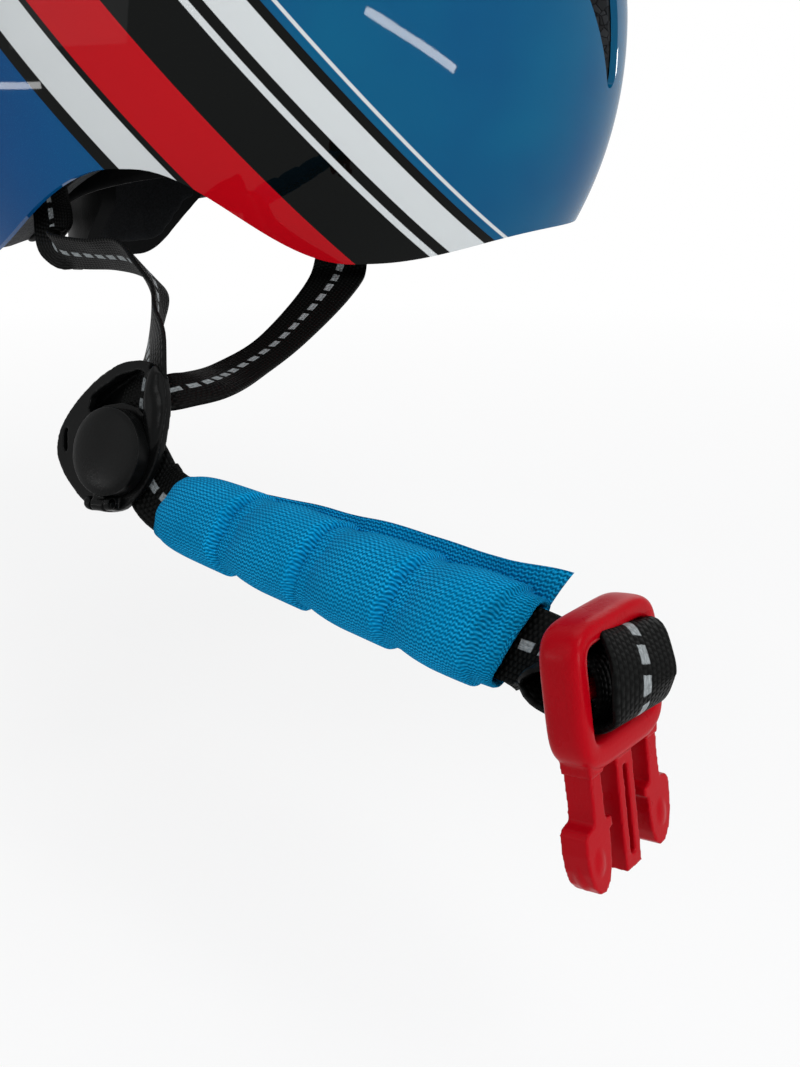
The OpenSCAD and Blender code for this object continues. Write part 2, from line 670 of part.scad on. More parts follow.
module chin_sleeve() {
    outer = [for (i = [0 : chin_steps]) each chin_ring(i / chin_steps)];
    inner = [for (i = [0 : chin_steps]) each sleeve_ring(i / chin_steps)];
    n = chin_fn;
    m = len(outer);
    last = m - n;
    walls = [for (i = [0 : chin_steps - 1]) for (k = [0 : n - 1]) let(
        a = i * n + k, b = i * n + (k + 1) % n)
        each [[a, b, a + n], [b, b + n, a + n], [m + a, m + a + n, m + b], [m + b, m + a + n, m + b + n]]];
    rims = [for (k = [0 : n - 1]) let(b = (k + 1) % n)
        each [[k, m + k, b], [b, m + k, m + b],
            [last + k, last + b, m + last + k], [last + b, m + last + b, m + last + k]]];
    polyhedron(concat(outer, inner), concat(walls, rims));
}
module chin_pad() color(pad_blue)
    at(chin_start + chin_dir * (norm(chin_end - chin_start) - chin_len) / 2, chin_up, chin_dir)
        chin_sleeve();

// Male buckle in its own axes: x along the bar, z away from the prongs, outer face towards -y
rail = 4;
chamfer = 1;
prong_x = frame_w / 2 - 4.2;
prong_r = 1.8;
knuckle_z = -frame_h / 2 - 0.6;
prong_t = 5;
prong_head = 0.46;
prong_hook = 2.6;
prong_back = 1.4;
guide_w = 6.8;
guide_slit = 1;
module chamfered(w, t, h, r) {
    slab(w, t - 2 * chamfer, h, r);
    slab(w - 2 * chamfer, t, h - 2 * chamfer, r - chamfer / 2);
}
module buckle_male() color(buckle_red) at(male_c, male_x, male_z) {
    difference() {
        union() {
            chamfered(frame_w, frame_t, frame_h, 4);
            translate([0, 0, knuckle_z - prong_len / 2 + 3])
                slab(guide_w, prong_t, prong_len - 2, 1.5);
        }
        slab(web_w + 2, frame_t + 2, frame_h - 2 * rail, 2);
        for (side = [-1, 1])
            translate([side * prong_x, 0, knuckle_z]) rotate([90, 0, 0])
                cylinder(r = prong_r + gap, h = frame_t + 2, center = true, $fn = 32);
        translate([0, 0, knuckle_z - prong_len / 2 + 1])
            cube([guide_slit, prong_t + 2, prong_len - 8], center = true);
    }
    rotate([0, 90, 0]) cylinder(d = bar_d, h = web_w + 3, center = true, $fn = 32);
}
module prong() {
    head_z = -prong_len * prong_head;
    out = prong_r + prong_hook;
    back = -prong_r - prong_back;
    rotate([90, 0, 0]) cylinder(r = prong_r, h = prong_t, center = true, $fn = 32);
    rotate([90, 0, 0]) linear_extrude(height = prong_t, center = true)
        polygon([[-prong_r, 0], [prong_r, 0], [prong_r, head_z], [out, head_z],
            [out - 0.2, head_z - 6], [1.6, -prong_len + 2], [0, -prong_len + 1.2],
            [-1.4, -prong_len + 2], [back + 1, head_z - 7], [back, head_z - 3],
            [back, head_z - 1], [-prong_r, head_z - 1]]);
}
module buckle_prong_near() color(buckle_red)
    at(male_c, male_x, male_z) translate([-prong_x, 0, knuckle_z]) mirror([1, 0, 0]) prong();
module buckle_prong_far() color(buckle_red)
    at(male_c, male_x, male_z) translate([prong_x, 0, knuckle_z]) prong();

// Female buckle in its own axes: x along the bar, z towards its mouth, y towards the shell
female_w = frame_w + 3;
female_thick = 11;
female_len = 39;
female_end = bar_d / 2 + 0.8;
mouth_w = frame_w - 0.4;
mouth_t = prong_t + 1.2;
female_slot = 5.6;
// Bridge between the bar's slot and the socket, and the openings for the prongs' hooks
socket_bridge = 3;
side_at = 13;
side_deep = 4;
side_long = 11;
module buckle_female() color(buckle_red) at(female_c, [-1, 0, 0], female_z) {
    difference() {
        translate([0, 0, female_len / 2 - female_end]) chamfered(female_w, female_thick, female_len, 3);
        cube([web_w + 2, female_thick + 2, 2 * female_slot], center = true);
        translate([0, 0, female_slot + socket_bridge + female_len / 2])
            cube([mouth_w, mouth_t, female_len], center = true);
        for (side = [-1, 1])
            translate([side * female_w / 2, 0, female_slot + side_at])
                cube([2 * side_deep, mouth_t, side_long], center = true);
    }
    rotate([0, 90, 0]) cylinder(d = bar_d, h = web_w + 3, center = true, $fn = 32);
}

// Fit system, drawn in the helmet's axes: the right rack runs below the pinion, the left above it
stud_x = 46;
stud_z = 32;
stud_d = 4;
stud_len = 10;
stud_head = 9;
stud_head_t = 1.6;
band_near = 1.8;
rack_t = 4.4;
rack_bar = 2.9;
rack_lead = 6;
rack_tab = 6;
rack_tab_len = 4;
slack = 0.3;
pressure = 25;
gear_n = 10;
pitch_r = gear_m * gear_n / 2;
add = gear_m;
rack_add = 0.8 * gear_m;
ded = 1.25 * gear_m;
pitch = PI * gear_m;
tray_wall = 1.6;
tray_half_y = rack_lead + rack_travel + 1 + tray_wall;
tray_half_z = pitch_r + ded + rack_bar + gap + tray_wall;
tab_y = tray_half_y + rack_travel + 2 * gap;
rack_end = tab_y + rack_tab_len;
rack_mid = pitch_r + ded + rack_bar / 2;

function nape_in(y, z, off) = let(r = rho(z, crown_h - liner_in - off))
    shell_cx - (half_l - liner_in - off) * r * sqrt(1 - pow(y / ((half_w - liner_in - off) * r), 2));
function lining_pt(x, z, off) = wall_pt(x, z, liner_in + off);
rack_x = nape_in(rack_end, dial_z - rack_mid - rack_tab / 2, cradle_gap) + rack_t / 2;
cradle_x = -rack_x - tray_wall - gap - rack_t / 2;
tray_back = rack_x - rack_t / 2 - gap;
cavity_x = -cradle_x - tray_wall;

stud_p = lining_pt(stud_x, stud_z, 0);
stud_along = rim_tangent(stud_x, stud_z, liner_in);
stud_in = unit(cross([0, 0, 1], stud_along));
module stud_axis() {
    at(stud_p, stud_along, stud_in) children();
}
function band_route(z) = [
    lining_pt(stud_x + 7, stud_z, band_near + band_t / 2), lining_pt(stud_x, stud_z, band_near + band_t / 2),
    lining_pt(stud_x - 20, stud_z, 2.6), lining_pt(0, stud_z - 1, 3.4), lining_pt(-26, stud_z - 4, 5),
    lining_pt(-47, 23, 6), lining_pt(-62, (z + 23) / 2, 6),
    [nape_in(rack_end + 8, z, 4), -rack_end - 8, z], [rack_x, -rack_end - 3 * gap, z]];
band_up = [for (k = [1 : 9]) [0, 0, 1]];

module band(z) {
    difference() {
        ribbon(band_route(z), band_up, band_w, band_t, 3);
        stud_axis() cylinder(d = stud_d + 4 * run, h = 3 * stud_len, center = true, $fn = 32);
    }
}
module fit_band_right() color(trim_black) band(dial_z - rack_mid);
module fit_band_left() color(trim_black) mirror([0, 1, 0]) band(dial_z + rack_mid);

module temple_studs() color(trim_black) both_sides() stud_axis() {
    reach = band_near + band_t + gap;
    translate([0, 0, -stud_len + 2]) cylinder(d = stud_d, h = stud_len + reach - 2, $fn = 32);
    translate([0, 0, reach]) cylinder(d1 = stud_head, d2 = stud_head - 2, h = stud_head_t, $fn = 32);
}

// Cradle plate, curved round the nape, with the tray of the gear train on its back
plate_t = 2.4;
plate_ax = cradle_x + shell_cx;
plate_ay = 58;
plate_half_y = 47;
plate_low = -10;
plate_reach = 16;
cover_t = 1.8;
shaft_r = 3.3;
core_r = 1.4;
pin_len = 3.3;
screw_r = 1;
screw_head_r = 2;
screw_head_t = 1.2;
screw_sink = 1;
screw_y = 13.2;
screw_post = 2.4;
cushion_t = 3;
cradle_round = 13;
cover_back = tray_back - cover_t;

module elliptic(shrink) {
    translate([shell_cx, 0, 0]) scale([(plate_ax - shrink) / (plate_ay - shrink), 1, 1])
        cylinder(r = plate_ay - shrink, h = 2 * shell_w, center = true, $fn = 96);
}
module nape_layer(near, far) {
    intersection() {
        difference() {
            elliptic(near);
            elliptic(far);
        }
        translate([shell_cx - plate_reach - half_l, -half_w, -half_w]) cube([half_l, shell_w, shell_w]);
    }
}
module cradle_outline(shrink) {
    translate([0, 0, plate_low + cradle_h / 2]) rotate([90, 0, 90])
        linear_extrude(height = shell_len, center = true)
            polygon(round_rect(2 * plate_half_y - 2 * shrink, cradle_h - 2 * shrink, cradle_round));
}
module along_dial(x) {
    translate([x, 0, dial_z]) rotate([0, 90, 0]) children();
}
module tray_box(x0, x1, shrink) {
    translate([x0, -tray_half_y + shrink, dial_z - tray_half_z + shrink])
        cube([x1 - x0, 2 * (tray_half_y - shrink), 2 * (tray_half_z - shrink)]);
}
module cradle_plate() color(trim_black) {
    difference() {
        union() {
            intersection() {
                nape_layer(0, plate_t);
                cradle_outline(0);
            }
            difference() {
                tray_box(tray_back, -cradle_x + 6, 0);
                elliptic(plate_t / 2);
            }
        }
        tray_box(tray_back - 1, cavity_x, tray_wall);
        // Mouths for the racks
        translate([tray_back - 1, -tray_half_y - 1, dial_z - tray_half_z + tray_wall])
            cube([cavity_x - tray_back + 1, 2 * tray_half_y + 2, 2 * (tray_half_z - tray_wall)]);
    }
    // Side cheeks between the two mouths, and the posts of the cover's screws
    for (side = [-1, 1]) {
        translate([tray_back, side * (tray_half_y - tray_wall / 2) - tray_wall / 2, dial_z - 3])
            cube([cavity_x - tray_back, tray_wall, 6]);
        translate([0, side * screw_y, 0]) along_dial(tray_back) difference() {
            cylinder(r = screw_post, h = cavity_x - tray_back, $fn = 32);
            translate([0, 0, -1]) cylinder(r = screw_r, h = cavity_x - tray_back + 0.5, $fn = 32);
        }
    }
    along_dial(cavity_x - pin_len) cylinder(r = core_r - run, h = pin_len, $fn = 32);
}
module cradle_cover() color(trim_black) difference() {
    translate([cover_back, 0, dial_z]) rotate([90, 0, 90])
        linear_extrude(height = cover_t) polygon(round_rect(2 * tray_half_y, 2 * tray_half_z, 3));
    along_dial(cover_back - 1) cylinder(r = shaft_r + run, h = cover_t + 2, $fn = 64);
    for (side = [-1, 1])
        translate([0, side * screw_y, 0]) {
            along_dial(cover_back - 1) cylinder(r = screw_r + 2 * run, h = cover_t + 2, $fn = 32);
            along_dial(cover_back - 1) cylinder(r = screw_head_r + 2 * run, h = 1 + screw_sink, $fn = 32);
        }
}
module cradle_pad() color(pad_black) intersection() {
    nape_layer(plate_t + gap / 2, plate_t + gap / 2 + cushion_t);
    cradle_outline(4);
}
module cover_screws() color(steel) for (side = [-1, 1])
    translate([0, side * screw_y, 0]) {
        along_dial(cover_back + screw_sink - screw_head_t) cylinder(r = screw_head_r, h = screw_head_t, $fn = 32);
        along_dial(cover_back + screw_sink) cylinder(r = screw_r - run, h = cover_t + 2, $fn = 32);
    }

// Gear train: the pinion turns with the dial and draws both racks in
flank_steps = 4;
knob_in = 4.6;
base_r = pitch_r * cos(pressure);
tip_roll = sqrt(pow((pitch_r + add) / base_r, 2) - 1);
half_tooth = 90 / gear_n - slack / 4 / pitch_r * 180 / PI;
flank_lead = half_tooth + tan(pressure) * 180 / PI - pressure;
function polar(r, a) = [r * cos(a), r * sin(a)];
function flank(i) = let(t = tip_roll * i / flank_steps)
    [base_r * sqrt(1 + t * t), flank_lead - (t * 180 / PI - atan(t))];
module pinion_outline() {
    polygon([for (k = [0 : gear_n - 1]) let(c = 360 * k / gear_n) each concat(
        [polar(pitch_r - ded, c - flank_lead)],
        [for (i = [0 : flank_steps]) polar(flank(i)[0], c - flank(i)[1])],
        [for (i = [flank_steps : -1 : 0]) polar(flank(i)[0], c + flank(i)[1])],
        [polar(pitch_r - ded, c + flank_lead)])]);
}
module dial_pinion() color(trim_black) {
    bottom = rack_x - rack_t / 2;
    difference() {
        union() {
            translate([bottom, 0, dial_z]) rotate([90, 0, 90])
                linear_extrude(height = rack_t) pinion_outline();
            along_dial(cover_back - washer_room - knob_in)
                cylinder(r = shaft_r, h = bottom - cover_back + washer_room + knob_in + 0.5, $fn = 64);
        }
        along_dial(cover_back - 20) cylinder(r = core_r, h = 40, $fn = 32);
    }
}

module rack_teeth() {
    tip = pitch / 4 - slack / 4 - rack_add * tan(pressure);
    foot = pitch / 4 - slack / 4 + ded * tan(pressure);
    count = ceil((rack_travel + 2) / pitch);
    for (k = [-count : 1])
        translate([k * pitch, 0]) polygon([
            [-foot, -ded - 0.1], [foot, -ded - 0.1], [foot, -ded], [tip, rack_add], [-tip, rack_add],
            [-foot, -ded]]);
}
module rack() {
    translate([rack_x - rack_t / 2, 0, dial_z - pitch_r]) rotate([90, 0, 90])
        linear_extrude(height = rack_t) {
            rack_teeth();
            translate([-rack_end, -ded - rack_bar]) square([rack_end + rack_lead, rack_bar]);
        }
    translate([rack_x - rack_t / 2, -rack_end, dial_z - rack_mid - rack_tab / 2])
        cube([rack_t, rack_tab_len, rack_tab]);
}
module rack_right() color(trim_black) rack();
module rack_left() color(trim_black)
    translate([0, 0, dial_z]) rotate([180, 0, 0]) translate([0, 0, -dial_z]) rack();

// Dial on the back of the cradle, with a wave washer under it and a screw through it
washer_t = 0.6;
washer_room = 1;
knob_back = cover_back - washer_room;
grip_count = 18;
grip_r = 1.1;
screw_head = 3;
dial_head_t = 1.8;
recess_t = 2.6;
washer_rim = 3.2;
module dial_knob() color(trim_black) difference() {
    union() {
        along_dial(knob_back - dial_t) cylinder(d1 = dial_d - 3, d2 = dial_d, h = 1.5, $fn = 72);
        along_dial(knob_back - dial_t + 1.5) cylinder(d = dial_d, h = dial_t - 1.5, $fn = 72);
    }
    for (k = [0 : grip_count - 1])
        translate([knob_back - dial_t - 1, 0, dial_z]) rotate([360 * k / grip_count, 0, 0])
            translate([0, 0, dial_d / 2 + 0.3]) rotate([0, 90, 0])
                cylinder(r = grip_r, h = dial_t + 2, $fn = 24);
    along_dial(knob_back - knob_in - 0.2) cylinder(r = shaft_r + run, h = knob_in + 1.4, $fn = 64);
    along_dial(knob_back - dial_t - 1) cylinder(r = core_r, h = dial_t + 2, $fn = 32);
    along_dial(knob_back - dial_t - 1) cylinder(r = screw_head + 0.4, h = recess_t + 1, $fn = 32);
}
module dial_washer() color(steel) difference() {
    along_dial(cover_back - washer_t - 0.2) cylinder(r = shaft_r + washer_rim, h = washer_t, $fn = 64);
    along_dial(cover_back - washer_room) cylinder(r = shaft_r + gap, h = 2, $fn = 64);
}
module dial_screw() color(steel) {
    seat = knob_back - dial_t + recess_t;
    along_dial(seat - dial_head_t) cylinder(r = screw_head, h = dial_head_t, $fn = 32);
    along_dial(seat) cylinder(r = core_r - run, h = cavity_x - pin_len - seat - gap, $fn = 32);
}

outer_shell();
foam_liner();
brow_pad();
crown_pad();
side_pad_right();
side_pad_left();
hook_discs();
front_strap_anchors();
rear_strap_anchors();
front_strap_right();
rear_strap_right();
front_strap_left();
rear_strap_left();
strap_keeper();
divider_frame_right();
divider_frame_left();
divider_lever_right();
divider_lever_left();
chin_pad();
buckle_male();
buckle_prong_near();
buckle_prong_far();
buckle_female();
fit_band_right();
fit_band_left();
temple_studs();
cradle_plate();
cradle_cover();
cradle_pad();
cover_screws();
dial_knob();
dial_pinion();
dial_screw();
dial_washer();
rack_right();
rack_left();
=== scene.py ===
"""Dresses the child's bike helmet: shell print, foam, webbing, pads, buckle and fit system."""
import json
import logging
import math
from dataclasses import dataclass, field
from enum import Enum
from typing import Callable, Sequence

import bmesh
import bpy
from mathutils import Matrix, Vector

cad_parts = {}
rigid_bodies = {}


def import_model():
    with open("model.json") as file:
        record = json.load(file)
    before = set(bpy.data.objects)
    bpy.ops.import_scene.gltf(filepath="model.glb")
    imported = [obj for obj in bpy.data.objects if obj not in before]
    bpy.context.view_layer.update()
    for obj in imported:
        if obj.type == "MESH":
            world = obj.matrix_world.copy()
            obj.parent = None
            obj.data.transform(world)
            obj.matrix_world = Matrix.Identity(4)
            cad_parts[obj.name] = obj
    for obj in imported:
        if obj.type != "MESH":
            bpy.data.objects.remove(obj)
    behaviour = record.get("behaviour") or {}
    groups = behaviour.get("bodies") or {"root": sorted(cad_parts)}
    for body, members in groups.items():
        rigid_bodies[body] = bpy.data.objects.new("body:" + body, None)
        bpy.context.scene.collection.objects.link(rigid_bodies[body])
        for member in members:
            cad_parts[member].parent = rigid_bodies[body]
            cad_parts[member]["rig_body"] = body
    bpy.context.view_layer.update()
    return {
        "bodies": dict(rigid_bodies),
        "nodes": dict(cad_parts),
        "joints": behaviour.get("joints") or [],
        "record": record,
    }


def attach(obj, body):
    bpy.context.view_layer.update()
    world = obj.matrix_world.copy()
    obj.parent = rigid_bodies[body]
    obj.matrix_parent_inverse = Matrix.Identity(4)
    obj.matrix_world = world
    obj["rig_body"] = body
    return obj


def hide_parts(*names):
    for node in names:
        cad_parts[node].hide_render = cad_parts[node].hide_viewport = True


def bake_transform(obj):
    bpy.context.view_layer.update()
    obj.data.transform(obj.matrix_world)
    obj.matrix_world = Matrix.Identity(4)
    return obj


LOG = logging.getLogger("helmet")
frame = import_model()
MM = 0.001
MERGE = 2e-6
Colour = tuple[float, float, float]


def clamp(value: float, low: float, high: float) -> float:
    """Returns the value held between two limits."""
    return max(low, min(high, value))


def ease(a: float, b: float, t: float) -> float:
    """Returns a cosine step from a to b as t goes from 0 to 1."""
    return a + (b - a) * (1 - math.cos(math.pi * clamp(t, 0, 1))) / 2


def dimmed(colour: Colour, share: float) -> Colour:
    """Returns a colour at a share of its strength."""
    return tuple(c * share for c in colour)


# Node graphs
class Graph:
    """A short way to wire the nodes of one material, or of the world."""

    def __init__(self, name: str, world: bpy.types.World | None = None) -> None:
        """Starts an empty node graph with its output.

        Args:
            name: Name of the new material.
            world: World that gets the graph in place of a material.
        """
        self.owner = world or bpy.data.materials.new(name)
        self.owner.use_nodes = True
        self.nodes = self.owner.node_tree.nodes
        self.links = self.owner.node_tree.links
        self.nodes.clear()
        kind = "ShaderNodeOutputWorld" if world else "ShaderNodeOutputMaterial"
        self.output = self.nodes.new(kind)

    def put(self, socket: bpy.types.NodeSocket, value: object) -> None:
        """Links a socket to another one, or sets its value.

        Args:
            socket: Input to fill.
            value: Output socket, number or tuple.
        """
        if isinstance(value, bpy.types.NodeSocket):
            self.links.new(value, socket)
        elif isinstance(value, tuple) and len(value) == 3 and len(socket.default_value) == 4:
            socket.default_value = (*value, 1.0)
        else:
            socket.default_value = value

    def node(self, kind: str, inputs: dict | None = None, **settings: object) -> bpy.types.Node:
        """Adds one node.

        Args:
            kind: Blender's name of the node type.
            inputs: Values or sockets by input name or number.
            settings: Attributes of the node.

        Returns:
            The new node.
        """
        made = self.nodes.new(kind)
        for key, value in settings.items():
            setattr(made, key, value)
        for key, value in (inputs or {}).items():
            self.put(made.inputs[key], value)
        return made

    def math(self, operation: str, *values: object) -> bpy.types.NodeSocket:
        """Adds a math node.

        Args:
            operation: Blender's name of the operation.
            values: Numbers or sockets.

        Returns:
            The socket of the result.
        """
        made = self.node("ShaderNodeMath", operation=operation)
        for socket, value in zip(made.inputs, values):
            self.put(socket, value)
        return made.outputs[0]

    def ramp(self, value: object, low: float, high: float, to_low: float = 0.0,
             to_high: float = 1.0) -> bpy.types.NodeSocket:
        """Returns a value mapped from one clamped range to another."""
        made = self.node("ShaderNodeMapRange", {0: value, 1: low, 2: high, 3: to_low, 4: to_high})
        return made.outputs[0]

    def mix(self, factor: object, a: object, b: object) -> bpy.types.NodeSocket:
        """Mixes two colours.

        Args:
            factor: 0 for the first colour, 1 for the second.
            a: First colour.
            b: Second colour.

        Returns:
            The mixed colour.
        """
        made = self.node("ShaderNodeMix", data_type="RGBA")
        self.put(made.inputs[0], factor)
        self.put(made.inputs[6], a)
        self.put(made.inputs[7], b)
        return made.outputs[2]

    def place(self) -> bpy.types.NodeSocket:
        """Returns the object's own coordinates."""
        return self.node("ShaderNodeTexCoord").outputs["Object"]

    def cloth(self) -> bpy.types.NodeSocket:
        """Returns the piece's own UV map, in metres."""
        return self.node("ShaderNodeUVMap", uv_map="weave").outputs[0]

    def split(self, vector: bpy.types.NodeSocket) -> tuple[bpy.types.NodeSocket, ...]:
        """Returns the x, y and z of a vector."""
        return tuple(self.node("ShaderNodeSeparateXYZ", {0: vector}).outputs)

    def noise(self, vector: object, scale: float, detail: float = 3.0,
              rough: float = 0.5) -> bpy.types.NodeSocket:
        """Returns the value of a noise texture."""
        made = self.node("ShaderNodeTexNoise",
                         {"Vector": vector, "Scale": scale, "Detail": detail, "Roughness": rough})
        return made.outputs["Fac"]

    def stretched(self, vector: object, scale: Colour) -> bpy.types.NodeSocket:
        """Returns coordinates with a scale of their own along each axis."""
        return self.node("ShaderNodeMapping", {0: vector, 3: scale}).outputs[0]

    def bump(self, height: object, strength: float, distance: float,
             under: object = None) -> bpy.types.NodeSocket:
        """Bends the normal by a height.

        Args:
            height: Height from 0 to 1.
            strength: Strength of the effect.
            distance: Real height in metres.
            under: Normal from another bump.

        Returns:
            The bent normal.
        """
        made = self.node("ShaderNodeBump", {"Height": height, "Strength": strength,
                                            "Distance": distance})
        if under is not None:
            self.put(made.inputs["Normal"], under)
        return made.outputs[0]

    def finish(self, **inputs: object) -> bpy.types.Material:
        """Adds the shader and links it to the output.

        Args:
            inputs: Values of the shader by name, with _ for a blank.

        Returns:
            The material.
        """
        shader = self.node("ShaderNodeBsdfPrincipled")
        for key, value in inputs.items():
            self.put(shader.inputs[key.replace("_", " ")], value)
        self.links.new(shader.outputs[0], self.output.inputs[0])
        return self.owner


# Finishes
class Ink(Enum):
    """The inks of the stripes. GROUND leaves the shell's own colour."""

    BLACK = (0.0014, 0.002, 0.0018)
    WHITE = (0.62, 0.65, 0.655)
    RED = (0.47, 0.0025, 0.0075)
    GROUND = None


@dataclass(frozen=True)
class Gloss:
    """Printed hard shell under a clear coat, with a pack of plain diagonal stripes on each side."""

    royal: Colour = (0.001, 0.066, 0.225)
    teal: Colour = (0.0, 0.096, 0.205)
    fleck: Colour = (0.01, 0.2, 0.4)
    rise: float = 0.9
    edge: float = 0.0003
    stripes: tuple[tuple[float, Ink], ...] = (
        (0.000, Ink.BLACK), (0.005, Ink.WHITE), (0.019, Ink.BLACK), (0.0215, Ink.RED),
        (0.044, Ink.BLACK), (0.066, Ink.WHITE), (0.0685, Ink.BLACK), (0.0725, Ink.WHITE),
        (0.084, Ink.BLACK), (0.0875, Ink.GROUND), (0.0905, Ink.WHITE), (0.0918, Ink.GROUND))

    def build(self) -> bpy.types.Material:
        """Returns the material of the shell."""
        g = Graph("gloss_shell")
        place = g.place()
        x, _, z = g.split(place)
        level = g.math("ADD", x, g.math("MULTIPLY", z, self.rise))
        blue = g.mix(g.ramp(x, -0.06, 0.04), self.royal, self.teal)
        cloud = g.ramp(g.noise(place, 22.0, 2.0), 0.35, 0.7, 0.0, 0.5)
        deep = g.mix(cloud, blue, dimmed(self.royal, 0.72))
        flecks = g.ramp(g.noise(place, 5200.0, 1.0), 0.62, 0.72, 0.0, 0.35)
        paint = g.mix(flecks, deep, self.fleck)
        for start, ink in self.stripes:
            colour = deep if ink is Ink.GROUND else ink.value
            paint = g.mix(g.ramp(level, start, start + self.edge), paint, colour)
        ripple = g.bump(g.noise(place, 26.0, 1.0), 0.1, 0.0004)
        hairs = g.noise(g.stretched(place, (40.0, 40.0, 900.0)), 6.0, 4.0)
        dust = g.noise(place, 2600.0, 2.0)
        rough = g.math("ADD", g.ramp(hairs, 0.45, 0.8, 0.24, 0.34),
                       g.ramp(dust, 0.6, 0.8, 0.0, 0.1))
        return g.finish(Base_Color=paint, Roughness=rough, Specular_IOR_Level=0.0,
                        Coat_Weight=0.5, Coat_Roughness=0.03, Coat_IOR=1.3, Coat_Normal=ripple)


@dataclass(frozen=True)
class Foam:
    """Expanded bead foam, with the outlines of its beads."""

    colour: Colour = (0.014, 0.015, 0.016)
    pale: Colour = (0.034, 0.036, 0.039)
    gap: Colour = (0.006, 0.006, 0.007)
    bead: float = 0.0026
    drift: float = 0.0012

    def build(self) -> bpy.types.Material:
        """Returns the material of the liner."""
        g = Graph("bead_foam")
        place = g.place()
        noise = g.node("ShaderNodeTexNoise", {"Vector": place, "Scale": 260.0}).outputs["Color"]
        push = g.node("ShaderNodeVectorMath", {0: noise, 3: self.drift}, operation="SCALE")
        wander = g.node("ShaderNodeVectorMath", {0: place, 1: push.outputs[0]},
                        operation="ADD").outputs[0]
        beads = {"Vector": wander, "Scale": 1 / self.bead}
        cells = g.node("ShaderNodeTexVoronoi", beads, feature="DISTANCE_TO_EDGE")
        each = g.node("ShaderNodeTexVoronoi", beads)
        tone = g.split(each.outputs["Color"])[0]
        seam = g.ramp(cells.outputs["Distance"], 0.0, 0.09)
        colour = g.mix(seam, self.gap, g.mix(g.ramp(tone, 0.1, 0.9), self.colour, self.pale))
        height = g.math("ADD", g.math("MULTIPLY", seam, 0.8), g.math("MULTIPLY", tone, 0.2))
        return g.finish(Base_Color=colour, Roughness=g.ramp(tone, 0, 1, 0.62, 0.8),
                        Specular_IOR_Level=0.1, Normal=g.bump(height, 0.7, 0.0003))


@dataclass(frozen=True)
class Moulded:
    """Injection moulded plastic with a fine texture, flow marks and light scuffs."""

    name: str
    colour: Colour
    rough: float
    grain: float
    level: float

    def build(self) -> bpy.types.Material:
        """Returns the material of the moulding."""
        g = Graph(self.name)
        place = g.place()
        grain = g.noise(place, 1500.0, 2.0)
        cloud = g.noise(place, 70.0, 3.0)
        scuff = g.noise(g.stretched(place, (160.0, 700.0, 160.0)), 5.0, 5.0, 0.6)
        pale = tuple(min(1.0, c * 1.2 + 0.002) for c in self.colour)
        colour = g.mix(g.ramp(cloud, 0.35, 0.75, 0.0, 0.35), self.colour, pale)
        rough = g.math("ADD", g.ramp(cloud, 0.3, 0.7, self.rough - 0.05, self.rough + 0.05),
                       g.ramp(scuff, 0.55, 0.75, 0.0, 0.12))
        flow = g.bump(cloud, 0.08, 0.0004)
        return g.finish(Base_Color=colour, Roughness=rough, Specular_IOR_Level=self.level,
                        Normal=g.bump(grain, self.grain, 0.00012, flow))


@dataclass(frozen=True)
class Webbing:
    """Black woven webbing, reflective dashes along its middle, painted shade and highlights."""

    colour: Colour = (0.0016, 0.0018, 0.0017)
    # Shares of the colour in the weave's grooves (painted shade) and on its crests (painted
    # highlight).
    groove_shade: float = 0.3
    crest_highlight: float = 2.6
    fleck: Colour = (0.36, 0.39, 0.4)
    pick: float = 0.00125
    column: float = 0.00115
    dash_pitch: float = 0.0053
    dash: float = 0.62
    dash_width: float = 0.0018

    def build(self) -> bpy.types.Material:
        """Returns the material of the webbing."""
        g = Graph("webbing")
        across, along, _ = g.split(g.cloth())
        wobble = g.noise(g.cloth(), 700.0, 2.0)
        shift = g.math("MULTIPLY", g.math("SUBTRACT", wobble, 0.5), 0.0005)
        v = g.math("ADD", along, shift)
        count = g.math("FLOOR", g.math("DIVIDE", across, self.column))
        turns = g.math("ADD", g.math("DIVIDE", v, self.pick), g.math("MULTIPLY", count, 0.5))
        pick = g.math("SINE", g.math("MULTIPLY", turns, 2 * math.pi))
        warp = g.math("ABSOLUTE", g.math("SINE", g.math("MULTIPLY", across, math.pi / self.column)))
        height = g.math("MULTIPLY", g.math("MULTIPLY_ADD", pick, 0.4, 0.6), warp)
        # Painted shade in the grooves and a painted highlight on the crests, set by the weave's
        # height.
        weave = g.mix(g.ramp(height, 0.15, 0.95), dimmed(self.colour, self.groove_shade),
                      dimmed(self.colour, self.crest_highlight))
        part = g.math("FRACT", g.math("DIVIDE", v, self.dash_pitch))
        on = g.ramp(part, self.dash, self.dash + 0.05, 1.0, 0.0)
        edge = g.math("ADD", g.math("ABSOLUTE", across), g.math("MULTIPLY", shift, 0.6))
        half = self.dash_width / 2
        line = g.ramp(edge, half, half + 0.0002, 1.0, 0.0)
        fibre = g.noise(g.stretched(g.cloth(), (3.0, 0.4, 1.0)), 1600.0, 2.0)
        grey = g.mix(g.ramp(fibre, 0.3, 0.7), dimmed(self.fleck, 0.45), self.fleck)
        shade = g.mix(g.math("MULTIPLY", on, line), weave, grey)
        fuzz = g.noise(g.cloth(), 5200.0, 2.0)
        normal = g.bump(height, 0.9, 0.0003, g.bump(fuzz, 0.25, 0.00006))
        return g.finish(Base_Color=shade, Roughness=g.ramp(fuzz, 0.2, 0.8, 0.42, 0.6),
                        Specular_IOR_Level=0.05, Normal=normal)


